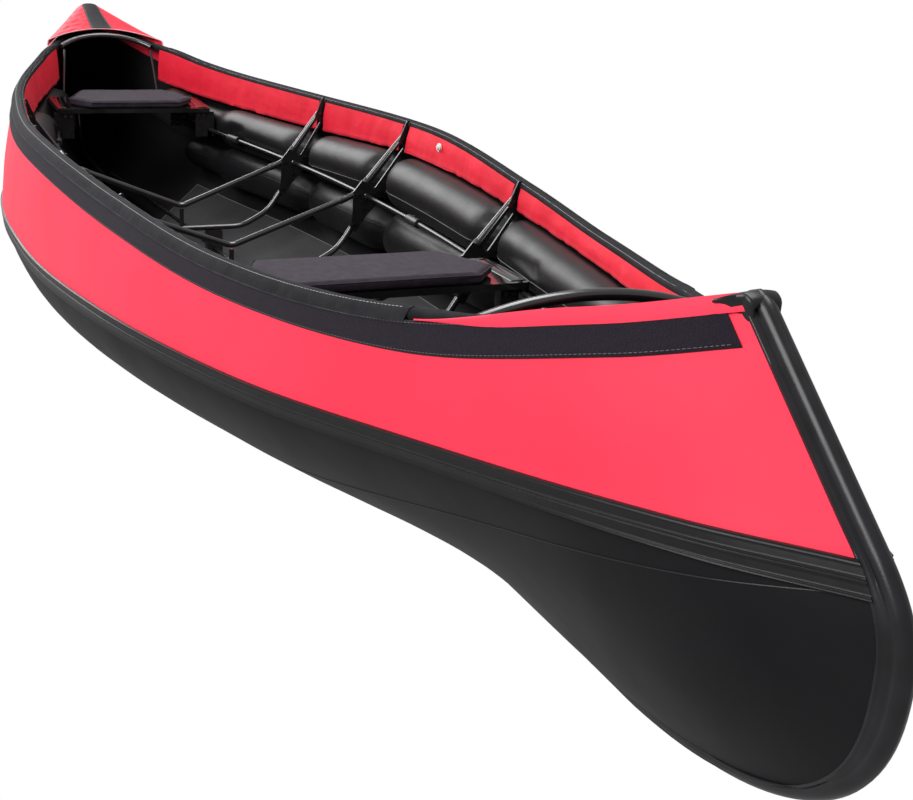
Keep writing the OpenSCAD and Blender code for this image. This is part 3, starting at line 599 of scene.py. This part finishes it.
def strakes():
    ts = span(0, 1, 44)
    # place across the strake, width and height of each ridge
    ridges = ((0.05, 0.035, 2.6), (0.13, 0.03, 1.6), (0.46, 0.035, 2.0),
              (0.55, 0.035, 2.0), (0.88, 0.03, 1.8), (0.95, 0.035, 2.4))
    for side, word in SIDES:
        outer, inner = [], []
        for s in STATIONS:
            vs = [seam_v(s, mix(4, 36, t)) for t in ts]
            high = [1.2 + 1.6 * ease(min(t, 1 - t) / 0.05)
                    + sum(h * math.exp(-((t - c) / w) ** 2) for c, w, h in ridges) for t in ts]
            outer.append([sided(on_skin(s, v, h), side) for v, h in zip(vs, high)])
            inner.append([sided(on_skin(s, v, 1.05), side) for v in vs])
        ob = shell("strake_ribbed_" + word, outer, inner, M["strake"], sharp=60)
        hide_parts("rub_strake_" + word)


def velcro():
    near, far, width = -0.828, 0.9885, 33
    ds = span(width, 0, 16)
    for side, word in SIDES:
        outer, inner = [], []
        for s in span(near, far, 240):
            row = []
            for d in ds:
                e = min(1, (width - d) / 2, d / 2)
                row.append(sided(on_skin(s, below(s, d), 0.8 + 2.0 * ease(e)
                                         + 0.35 * rough(skin(s, below(s, d)), 0.35, 7)), side))
            outer.append(row)
            inner.append([sided(on_skin(s, below(s, d), 0.45), side) for d in ds])
        ob = shell("loop_tape_" + word, outer, inner, M["loop"], sharp=80)
        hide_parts("velcro_band_" + word)
        lines = []
        for d in (2.6, width - 2.6):
            lines.append([(sided(on_skin(s, below(s, d), 3.1), side), sided(outward(s, below(s, d)), side))
                          for s in span(near + 0.002, far - 0.003, 300)])
        st = stitches("loop_tape_stitch_" + word, lines, M["dark_thread"])


def sleeves():
    def lump(i, h):
        return SLEEVE_R - 0.6 + 1.0 * rough((i * 0.35, math.cos(h) * 1.4, math.sin(h) * 1.4), 1.0, 5)

    for side, word in SIDES:
        path = [sided(gunwale_c(s), side) for s in span(-0.92, 0.92, 260)]
        v, f = rings_data(sweep(path, lump, 24))
        # flange that closes over the panel's edge down to the tape
        outer, inner = [], []
        for s in span(-0.80, 0.775, 200):
            c, p = gunwale_c(s), skin(s, 2)
            wob = 0.5 * rough(p, 0.03, 9)
            pts = [c + Vector((0, 3, SLEEVE_R + 0.3)), c + Vector((0, 9.5, 8.4)),
                   c + Vector((0, 13.5, 1.5 + wob)), on_skin(s, 2, 2.6 + wob), on_skin(s, below(s, 4), 3.6)]
            outer.append([sided(q, side) for q in pts])
            inner.append([sided(q + Vector((0, -0.9, -0.7)), side) for q in pts])
        v, f = join_data([(v, f), shell_data(outer, inner)])
        ob = make("gunwale_sleeve_cloth_" + word, v, f, M["sleeve"], sharp=70)
        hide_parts("gunwale_sleeve_" + word)
        line = [(sided(gunwale_c(s) + Vector((0, 8.2, 9.6)), side), sided(Vector((0, 0.6, 0.8)), side))
                for s in span(-0.79, 0.77, 260)]
        inboard = [(sided(gunwale_c(s) + Vector((0, -8.6, 7.4)), side), sided(Vector((0, -0.7, 0.7)), side))
                   for s in span(-0.91, 0.91, 300)]
        st = stitches("sleeve_stitch_" + word, [line, inboard], M["thread"], pitch=7, width=0.8, height=0.45)


def lining():
    end, after, before = 1470, 22, 14     # the flaps' ends, and the gaps behind and ahead of a rib
    cuts = [-end, *RIBS, end]
    for side, word in SIDES:
        parts, hems, area, length = [], [], 0.0, 0.0
        for i in range(4):
            a, b = cuts[i] + (after if i else 0), cuts[i + 1] - (before if i < 3 else 0)
            n = int((b - a) / 9)
            outer, inner, hem = [], [], []
            for k in range(n + 1):
                x0 = mix(a, b, k / n)
                s = x0 / end_x(1 if a + b > 0 else -1, 2)
                c = gunwale_c(s)
                w = s_at(c.x, UPPER)
                r = tube_radius(w, UPPER)
                q = on_skin(w, UPPER, -r - SKIN_T - 2)
                top = (c.y - SLEEVE_R - 0.6, c.z - 1)
                wave = 2.6 * rough((c.x, 0, side * 9), 0.018, 2) + 1.5 * rough((c.x, 0, side * 5), 0.055, 4)
                low = (min(q.y + 8, top[0] - 6) + 1.2 * wave, q.z + r + 3.4 + 0.8 * abs(wave))
                ro, ri = [], []
                for t in span(0, 1, 12):
                    sag = math.sin(math.pi * t) * (-2.2 + 1.3 * rough((c.x, t * 40, side * 3), 0.03, 6))
                    y, z = mix(low[0], top[0], t) + sag, mix(low[1], top[1], t)
                    fat = 0.9 if t < 0.12 else 0.0
                    ro.append(Vector((c.x, side * max(y - 0.7 - fat, 4), z + 0.35)))
                    ri.append(Vector((c.x, side * max(y + 0.7, 4.4), z - 0.35)))
                outer.append(ro)
                inner.append(ri)
                hem.append((ro[1] + Vector((0, -side * 0.3, 0.2)), Vector((0, -side * 0.8, 0.6))))
            area += cloth_area(outer)
            length += (b - a) * MM
            parts.append(shell_data(outer, inner))
            hems.append(hem)
        v, f = join_data(parts)
        ob = make("lining_flap_" + word, v, f, M["lining"], sharp=75)
        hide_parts("lining_" + word)
        st = stitches("lining_hem_" + word, hems, M["dark_thread"], pitch=6, width=0.8)


def bow_flaps():
    for side, word in SIDES:
        outer, inner = [], []
        for k in range(61):
            s = mix(0.785, 0.9995, k / 60)
            h = mix(1, 8.5, ease(k / 33))
            wob = 0.5 * rough(skin(s, 2), 0.03, 1)
            ds = [6 * ease(k / 20), 3 * ease(k / 20), -0.5, -0.5 - 0.5 * h, -0.5 - h]
            fat = [2.9, 3.5, 3.6, 3.4 + wob, 2.4 + wob]
            outer.append([sided(on_skin(s, below(s, d), g), side) for d, g in zip(ds, fat)])
            inner.append([sided(on_skin(s, below(s, d), g), side)
                          for d, g in zip(ds, (2.2, 2.2, 0.6, 0.2, 0.2))])
        ob = shell("bow_fold_" + word, outer, inner, M["panel"], sharp=75)
        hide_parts("bow_flap_" + word)


def stem_bands():
    """Rubber guard round each stem: a round nose, a ribbed flange on each side and a hood over the head."""
    nose = 11.5
    for d, word in ENDS:
        head = gz(d) + 4
        rows = [0.02 + 0.96 * (i / 50) ** 1.3 for i in range(51)] + span(1.02, 2.0, 40)
        lead = [Vector((stem_x(skin(d, v).z), 0, skin(d, v).z)) for v in rows]
        lead += [Vector((stem_x(head + up), 0, head + up)) for up in (0, 4, 6.5, 7.5)]
        rows += [2.0] * 4
        n = len(lead)
        outer, inner = [], []
        for i, (p, v) in enumerate(zip(lead, rows)):
            t = (lead[min(i + 1, n - 1)] - lead[max(i - 1, 0)]).normalized()
            out = Vector((t.z, 0, -t.x))
            thin = ease(0.25 + i / 26)
            lift = p.z - skin(d, v).z
            half = []
            for k in range(13):
                phi = math.radians(k / 12 * 104)
                q = p - out * nose * (1 - math.cos(phi))
                half.append(Vector((q.x, nose * math.sin(phi) * thin, q.z)))
            half[0] += out * 0.5
            half[1] += out * 0.1
            a = half[-1]
            e = skin(d, v)
            b = Vector((abs(e.x), max(e.y, 9.5 * thin) + 1.2 * thin, e.z + lift))
            for k, swell in ((0.25, 0.0), (0.5, 1.0), (0.75, 0.2)):
                half.append(a.lerp(b, k) + Vector((0, swell * thin, 0)))
            for back, high in ((0, 1.9), (1.6, 2.6), (3.2, 1.6), (4.8, 0.1)):
                g = on_skin(d * (1 - back / 2050), v, high)
                half.append(Vector((abs(g.x), max(g.y, b.y - 0.6 if back < 3 else 0), g.z + lift)))
            shrink = {n - 3: 0.92, n - 2: 0.7, n - 1: 0.2}.get(i, 1)
            for q in half:
                q.x, q.y, q.z = mix(p.x - 15, q.x, shrink), q.y * shrink, max(q.z, 0.25)
            full = [Vector((d * q.x, -q.y, q.z)) for q in half[:0:-1]]
            full += [Vector((d * q.x, q.y, q.z)) for q in half]
            outer.append(full)
            inner.append([Vector((q.x - d * 2.2, q.y - math.copysign(min(1.2, abs(q.y) * 0.5), q.y),
                                  max(q.z, 0.7))) for q in full])
        data = [shell_data(outer, inner)]
        # hood: covers the ends of both panels from side to side and runs out into the nose
        x0, x1 = (1810, stem_x(gz(d) + 8) - 3) if d > 0 else (1800, stem_x(gz(d) + 8))
        caps_o, caps_i = [], []
        us = span(-1, 1, 28)
        for t in span(0, 1, 36):
            x = mix(x0, x1, t)
            g = skin(d * min(1, x / end_x(d, 2)), 2)
            near = math.sqrt(max(0, 1 - (1 - min(1, (x1 - x) / 12)) ** 2))
            half = max(g.y + 4.6, 12.4) * (0.80 + 0.20 * near)
            zc = g.z + (14 if d > 0 else 8) - 7 * (1 - near) - 0.3 * max(0, x - end_x(d, 2))
            zc -= 2 * (1 - ease(t * 3)) if d > 0 else 0
            drop = 3 + 38 * t ** 1.6 if d > 0 else 12
            ro, ri = [], []
            for u in us:
                a = abs(u)
                if a < 0.7:
                    y, z = half * a / 0.7, zc - 3.0 * (a / 0.7) ** 2 + 1.2 * math.exp(-(a / 0.05) ** 2)
                else:
                    f = (a - 0.7) / 0.3
                    y, z = half + 1.4 * math.sin(f * math.pi / 2) - 0.10 * drop * f, zc - 3.0 - drop * f
                ro.append(Vector((d * x, math.copysign(y, u) if a else 0, z)))
                ri.append(Vector((d * (x - 1.0), math.copysign(max(y - 1.6, 0), u) if a else 0, z - 1.6)))
            caps_o.append(ro)
            caps_i.append(ri)
        data.append(shell_data(caps_o, caps_i))
        v, f = join_data(data)
        ob = make(word + "_stem_guard", v, f, M["band"], sharp=60)
        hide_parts(word + "_stem_band", word + "_stem_cap")


# ---------------- stern deck
DECK_FROM, DECK_TO = 0.836, 0.985


def deck_s(t):
    return -mix(DECK_FROM, DECK_TO, t)


def deck_point(t, u, d):
    """Point d above the deck: t runs from the front edge to the stern, and u is 1 at the port gunwale."""
    s = deck_s(t)
    p = skin(s, 2)
    k, past = min(abs(u), 1), max(abs(u) - 1, 0)
    sign = 1 if u > 0 else -1 if u < 0 else 0
    return Vector((p.x - (1 - t) * 55 * (1 - k * k), sign * (k * (p.y + 3 + 0.4 * d) + d * past * 8 + 0.7),
                   p.z + 11 + d * (1 - past * 5) + mix(30, 12, t) * (1 - k * k) - past * 75))


def stern_deck():
    us = span(-1.2, 1.2, 60)
    ts = span(0, 1, 60)

    def folds(t, u):
        near = ease((-u - 0.05) / 0.3) * ease((1 - abs(u)) / 0.25)
        wave = (math.sin(34 * t + 5 * u + 2.2 * rough((t * 9, u * 5, 0), 1, 3)) * 1.5
                + 1.2 * rough((t * 30, u * 8, 1), 1, 8))
        return near * wave * (1 - 0.5 * t) + 0.35 * rough((t * 12, u * 6, 2), 1, 4) * (1 - min(1, abs(u)))

    def w(t):
        return min(0.88, mix(31, 21, t) / (skin(deck_s(t), 2).y + 3))

    def row(t, d):
        return [deck_point(t, u * w(t), d) for u in span(-1, 1, 12)]

    outer = [[deck_point(t, u, 2) + Vector((0, 0, folds(t, u))) for u in us] for t in ts]
    inner = [[deck_point(t, u, 0.7) + Vector((0, 0, folds(t, u))) for u in us] for t in ts]
    ob = shell("stern_deck_cloth", outer, inner, M["deck"], sharp=70)
    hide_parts("stern_deck")

    strip = shell("stern_deck_webbing", [[q + Vector((0, 0, 0.5 * (1 - abs(2 * j / 12 - 1) ** 6)))
                                          for j, q in enumerate(row(t, 4.0))] for t in span(0, 0.97, 50)],
                  [row(t, 2.5) for t in span(0, 0.97, 50)], M["webbing"], sharp=70)
    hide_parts("stern_deck_strip")
    seam = [[(deck_point(t, e * w(t) * 0.9, 4.6), Vector((0, 0, 1))) for t in span(0.01, 0.96, 60)]
            for e in (-1, 1)]
    st = stitches("deck_webbing_stitch", seam, M["thread"], width=0.8)
    front = [deck_point(0, u, 2.2) for u in span(-1.18, 1.18, 60)]
    sides = [[deck_point(t, e * 1.02, 2.6) for t in span(0, 0.98, 50)] for e in (-1, 1)]
    bind = tube_obj("stern_deck_binding", [front, *sides], 1.6, M["binding"], 10)


# ---------------- air tubes
SOFT = 3.5                          # length over which a tube's flats round off
END_ROWS = (0, 3, 8, 16, 28, 44)    # distances of the first rings from a tube's end
END_DOME = 46                       # length over which an end closes


def air_tubes():
    for v0, a, b, level in ((UPPER, -1430, 1430, "upper"), (LOWER, -1300, 1320, "lower")):
        xs = [a + k for k in END_ROWS]
        x = a + 60
        while x < b - 62:
            near = min(abs(x - r) for r in RIBS)
            xs.append(x)
            x += 6 if near < 75 else 14
        xs += [b - k for k in END_ROWS[::-1]]
        for side, word in SIDES:
            rings = []
            for x in xs:
                c, r = air_centre(x, v0)
                end = min(x - a, b - x)
                r *= 0.30 + 0.70 * math.sqrt(max(0, 1 - (1 - min(end / END_DOME, 1)) ** 2))
                press_on = flats(x, v0)
                crease = max(math.exp(-((abs(x - q) - 34) / 26) ** 2) for q in RIBS)
                crease = max(crease, math.exp(-((end - 30) / 26) ** 2))
                ring = []
                for j in range(48):
                    h = 2 * math.pi * j / 48
                    wr = crease * (0.9 * math.sin(11 * h + 3 * rough((x, 0, 0), 0.01, 2))
                                   + 0.8 * rough((x * 0.9, 30 * math.cos(h), 30 * math.sin(h)), 0.06, 11))
                    wr += 0.5 * rough((x, 60 * math.cos(h), 60 * math.sin(h)), 0.012, 6)
                    rr = r - 0.9 + wr * min(1, end / 30)
                    q = Vector((rr * math.cos(h), -rr * math.sin(h)))
                    for way, far in press_on:
                        q -= SOFT * math.log1p(math.exp(min(40, (q.dot(way) - far) / SOFT))) * way
                    ring.append(Vector((x, side * (c.y + q.x), c.z + q.y)))
                rings.append(ring)
            vv, f = rings_data(rings)
            ob = make("air_chamber_%s_%s" % (level, word), vv, f, M["air"], sharp=80)
            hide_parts("%s_air_tube_%s" % (level, word))
            # welded seam along the inboard side
            seam = []
            for x in span(a + 40, b - 40, 260):
                c, r = air_centre(x, v0)
                h = math.pi * (0.93 if level == "upper" else 1.10)
                rr = r - 0.2
                seam.append(Vector((x, side * (c.y + rr * math.cos(h)), c.z - rr * math.sin(h))))
            sm = tube_obj("air_seam_%s_%s" % (level, word), [seam], 0.9, M["air"], 6)


# ---------------- frame
def bend(a, b, c, d):
    """Rounded corner at b, starting and ending d away from it."""
    p, q = b + (a - b).normalized() * d, b + (c - b).normalized() * d
    return [p.lerp(b, t).lerp(b.lerp(q, t), t) for t in span(0, 1, 10)]


def rounded(line, d):
    out = [line[0]]
    for i in range(1, len(line) - 1):
        out += bend(line[i - 1], line[i], line[i + 1], d)
    return out + [line[-1]]


def rib_points(n):
    """Elbow, top and lower end of a rib's port arm."""
    x = RIBS[n]
    st = side_line(x / SIDE_REACH)
    c = gunwale_c(s_at(x, 2))
    e = Vector((x, st.y - 24, 281))
    return e, Vector((x, c.y - 18, c.z - 25)), Vector((x, e.y - 8, 203))


RIB_DIP, RIB_TUBE, POST_TUBE, STRINGER_TUBE, STEM_TUBE = 173, 7, 5.5, 5.5, 8


def ribs():
    def r(i, _):
        return 7.25 if i in (0, 3) else 8.3

    for n, word in enumerate(("stern", "middle", "bow")):
        e, t, f = rib_points(n)
        x = RIBS[n]
        line = [sided(t, -1), sided(e, -1), Vector((x, 0, RIB_DIP)), e, t]
        ob = tube_obj(word + "_rib_upper_tube", [resample(rounded(line, 16), 12)], RIB_TUBE, M["tube"], 24)
        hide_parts(word + "_rib_cross_bar")
        half = [Vector((x, f.y - 104, 115)), Vector((x, f.y - 34, 153)), f]
        line = [sided(p, -1) for p in half[::-1]] + half
        post = [Vector((x, 0, z)) for z in (122.3, 130, 150, 165.7)]
        ob = tube_obj(word + "_rib_lower_tube", [resample(rounded(line, 27), 10)], RIB_TUBE, M["tube"], 24)
        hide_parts(word + "_rib_floor_bar")
        ob = tube_obj(word + "_rib_post", [post], POST_TUBE, M["tube"], 20)
        # collars on both tubes beside each elbow
        collars = []
        for side in (1, -1):
            a = sided(e, side)
            g = (sided(t, side) - a).normalized()
            h = (Vector((x, 0, RIB_DIP)) - a).normalized()
            for way, start in ((g, 26), (h, 22)):
                collars.append([a + way * (start + k) for k in (0, 2, 18, 20)])
        v, fc = join_data([rings_data(sweep(p, r, 24)) for p in collars])
        ob = make(word + "_rib_collars", v, fc, M["plastic"], sharp=35)


def stringers():
    for side, word in SIDES:
        for level, f, reach in (("side", side_line, 0.8), ("bottom", bottom_line, 1.0)):
            path = [sided(f(reach * t), side) for t in span(-1, 1, 120)]
            ob = tube_obj("%s_stringer_tube_%s" % (level, word), [path], STRINGER_TUBE, M["plate"], 18)
            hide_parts("%s_stringer_%s" % (level, word))
    for d, word in ENDS:
        top = gz(d) - 45
        pts = [Vector((d * 1640, 0, 72))]
        z = 95
        while z <= top:
            pts.append(Vector((d * (stem_x(z) - 88), 0, z)))
            z += 36
        ob = tube_obj(word + "_stem_tube", [resample(rounded(pts, 10), 8)], STEM_TUBE, M["tube"], 20)
        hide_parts(word + "_stem_post")


# ---------------- seats
PAD_T = 21.6            # most that a cushion may rise above its board
CUSHION_VOXEL = 0.005   # in metres
CUSHION_SWELL = 0.0045  # most that a point may move in the cloth simulation, in metres
CLOTH_FRAMES = 15


def seat_point(seat, p):
    """Point given from the middle of the seat board's top face."""
    a = math.radians(seat["tilt"])
    return Vector((seat["x"] + p[0] * math.cos(a) + p[2] * math.sin(a), p[1],
                   seat["top"] - p[0] * math.sin(a) + p[2] * math.cos(a)))


def pad_outline(d, p):
    """Six corners of a pad that is 2 d deep and 2 p wide, with pointed ends."""
    front, back = 52, 56
    return [(d, p - front), (d, front - p), (0.35 * d, -p), (-d, back - p), (-d, p - back), (0.35 * d, p)]


def apply_modifiers(ob):
    deps = bpy.context.evaluated_depsgraph_get()
    me = bpy.data.meshes.new_from_object(ob.evaluated_get(deps))
    ob.modifiers.clear()
    ob.data = me
    return me


def seat_pad(word):
    seat = SEATS[word]
    d, p = 95, seat["pad"]
    low, middle, high = pad_outline(d + 2.5, p - 3), pad_outline(d + 2, p - 4), pad_outline(d - 4, p - 10)
    bm = bmesh.new()
    levels = [(low, 2.5), (low, 9.0), (middle, 14.0), (high, 18.5)]
    rings = [[bm.verts.new((x * MM, y * MM, z * MM)) for x, y in ol] for ol, z in levels]
    for a, b in zip(rings, rings[1:]):
        for i in range(6):
            bm.faces.new((a[i], a[(i + 1) % 6], b[(i + 1) % 6], b[i]))
    bm.faces.new(rings[0])
    bm.faces.new(rings[-1])
    bmesh.ops.recalc_face_normals(bm, faces=bm.faces)
    me = bpy.data.meshes.new(word + "_seat_cushion")
    bm.to_mesh(me)
    bm.free()
    ob = add(word + "_seat_cushion", me)
    re = ob.modifiers.new("remesh", "REMESH")
    re.mode, re.voxel_size = "VOXEL", CUSHION_VOXEL
    me = apply_modifiers(ob)
    start = [v.co.copy() for v in me.vertices]
    cloth = ob.modifiers.new("cloth", "CLOTH")
    cloth.settings.use_pressure = True
    cloth.settings.uniform_pressure_force = 4
    cloth.settings.effector_weights.gravity = 0
    cloth.settings.quality = 5
    scene = bpy.context.scene
    for f in range(1, CLOTH_FRAMES + 1):
        scene.frame_set(f)
    me = apply_modifiers(ob)
    scene.frame_set(1)
    for v, s in zip(me.vertices, start):
        move = v.co - s
        if move.length > CUSHION_SWELL:
            move = move.normalized() * CUSHION_SWELL
        q = (s + move) / MM
        q.z = min(max(q.z, 0.4), PAD_T)
        v.co = seat_point(seat, q) * MM
    sub = ob.modifiers.new("smooth", "SUBSURF")
    sub.levels = sub.render_levels = 1
    me.shade_smooth()
    me.materials.clear()
    me.materials.append(M["pad"])
    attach(ob, word + "_seat")
    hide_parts(word + "_seat_pad")
    # piping round the upper edge
    ring = pad_outline(d - 1, p - 7)
    pts = []
    for i in range(6):
        a, b = Vector((*ring[i], 17.2)), Vector((*ring[(i + 1) % 6], 17.2))
        pts += [a.lerp(b, k / 24) for k in range(24)]
    loop = [seat_point(seat, q) for q in pts + [pts[0]]]
    pipe = tube_obj(word + "_pad_piping", [loop], 1.5, M["pad"], 8, word + "_seat")


def seats():
    for word, seat in SEATS.items():
        seat_pad(word)
        finish_cad(word + "_seat_board", M["board"], 1.6)
        finish_cad(word + "_seat_hangers", M["plate"], 0.8)
        finish_cad(word + "_seat_bolts", M["bolt"], 0.6)
        # end flanges folded down over the board ends
        for side, name in SIDES:
            h = seat["half"]
            prof = [(h - 34, 1.3), (h - 12, 1.3), (h - 5, 0.9), (h + 0.3, -1.6), (h + 1.2, -7),
                    (h + 1.2, -20)]
            outer, inner = [], []
            for x in span(-82, 82, 10):
                outer.append([seat_point(seat, (x, side * y, z)) for y, z in prof])
                inner.append([seat_point(seat, (x, side * (y - 1.0), z - 0.9)) for y, z in prof])
            ob = shell("%s_seat_end_%s" % (word, name), outer, inner, M["board"], word + "_seat", 50)


def floor_mat():
    us, ss = span(-1, 1, 48), span(-0.588, 0.634, 120)
    outer = [[on_skin(s, u * MAT_EDGE, -SKIN_T - 8.6) for u in us] for s in ss]
    inner = [[on_skin(s, u * MAT_EDGE, -SKIN_T - 1.0) for u in us] for s in ss]
    ob = shell("floor_mat_foam", outer, inner, M["mat"], sharp=50)
    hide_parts("floor_mat")
    rim = [[on_skin(s, u * MAT_EDGE, -SKIN_T - 7.8) for s in ss] for u in (-1, 1)]
    rim += [[on_skin(s, u * MAT_EDGE, -SKIN_T - 7.8) for u in us] for s in (ss[0], ss[-1])]
    ob = tube_obj("floor_mat_rim", rim, 1.5, M["mat_edge"], 8)


def small_parts():
    """CAD nodes that keep their shape: (nodes, material, bevel)."""
    for names, mat, bevel in (
            (("bow_arch", "stern_arch", "gunwale_tube_port", "gunwale_tube_starboard", "arch_struts"),
             "tube", 0),
            (("stringer_connectors",), "plastic", 0.8),
            (("spring_buttons",), "steel", 0.5),
            (("stern_rib_side_plates", "middle_rib_side_plates", "bow_rib_side_plates"), "plate", 0.7),
            (("rib_clips",), "plastic", 1.2),
            (("rib_bolts",), "bolt", 0.6),
            (("valve_plug_port", "valve_plug_starboard"), "white", 0.8)):
        for n in names:
            finish_cad(n, M[mat], bevel)


# ---------------- floor, lights and camera
FLOOR_HALF = 40         # in metres, as the camera's place
CAM_AT, CAM_LENS = (2.966, -0.860, 0.894), 55.69
CAM_YAW, CAM_PITCH, CAM_ROLL = 2.7028, -0.3258, 0.0494


def stage():
    me, s = bpy.data.meshes.new("floor"), FLOOR_HALF
    me.from_pydata([(-s, -s, 0), (s, -s, 0), (s, s, 0), (-s, s, 0)], [], [(0, 1, 2, 3)])
    me.materials.append(M["floor"])
    ob = add("floor", me)
    ob.visible_glossy = False


def area_light(name, place, target, size, power, colour=(1, 1, 1)):
    li = bpy.data.lights.new(name, "AREA")
    li.shape, li.size, li.size_y, li.energy, li.color = "RECTANGLE", size[0], size[1], power, colour
    ob = add(name, li)
    ob.location = place
    ob.rotation_euler = (Vector(target) - Vector(place)).to_track_quat("-Z", "Y").to_euler()


def lights_and_camera():
    world = bpy.data.worlds.new("studio")
    world.use_nodes = True
    world.node_tree.nodes["Background"].inputs["Color"].default_value = (1, 1, 1, 1)
    world.node_tree.nodes["Background"].inputs["Strength"].default_value = 0.42
    bpy.context.scene.world = world
    bpy.context.scene.view_settings.view_transform = "Standard"
    area_light("key", (1.2, -4.2, 3.4), (0.2, 0, 0.2), (4.0, 2.6), 290)
    area_light("side", (-4.6, -1.2, 2.8), (0, 0, 0.3), (3.0, 3.0), 150)
    area_light("top", (0.0, 1.0, 4.6), (0, 0, 0.2), (4.4, 1.6), 150)

    cam = bpy.data.cameras.new("camera")
    cam.lens, cam.sensor_width, cam.sensor_fit = CAM_LENS, 36.0, "HORIZONTAL"
    ob = add("camera", cam)
    level = math.cos(CAM_PITCH)
    d = Vector((level * math.cos(CAM_YAW), level * math.sin(CAM_YAW), math.sin(CAM_PITCH)))
    right = d.cross(Vector((0, 0, 1))).normalized()
    up = right.cross(d)
    r2 = math.cos(CAM_ROLL) * right + math.sin(CAM_ROLL) * up
    u2 = -math.sin(CAM_ROLL) * right + math.cos(CAM_ROLL) * up
    m = Matrix((r2, u2, -d)).transposed().to_4x4()
    m.translation = Vector(CAM_AT)
    ob.matrix_world = m
    bpy.context.scene.camera = ob


hull_skin()
side_panels()
strakes()
velcro()
sleeves()
lining()
bow_flaps()
stem_bands()
stern_deck()
air_tubes()
ribs()
stringers()
seats()
floor_mat()
small_parts()
stage()
lights_and_camera()
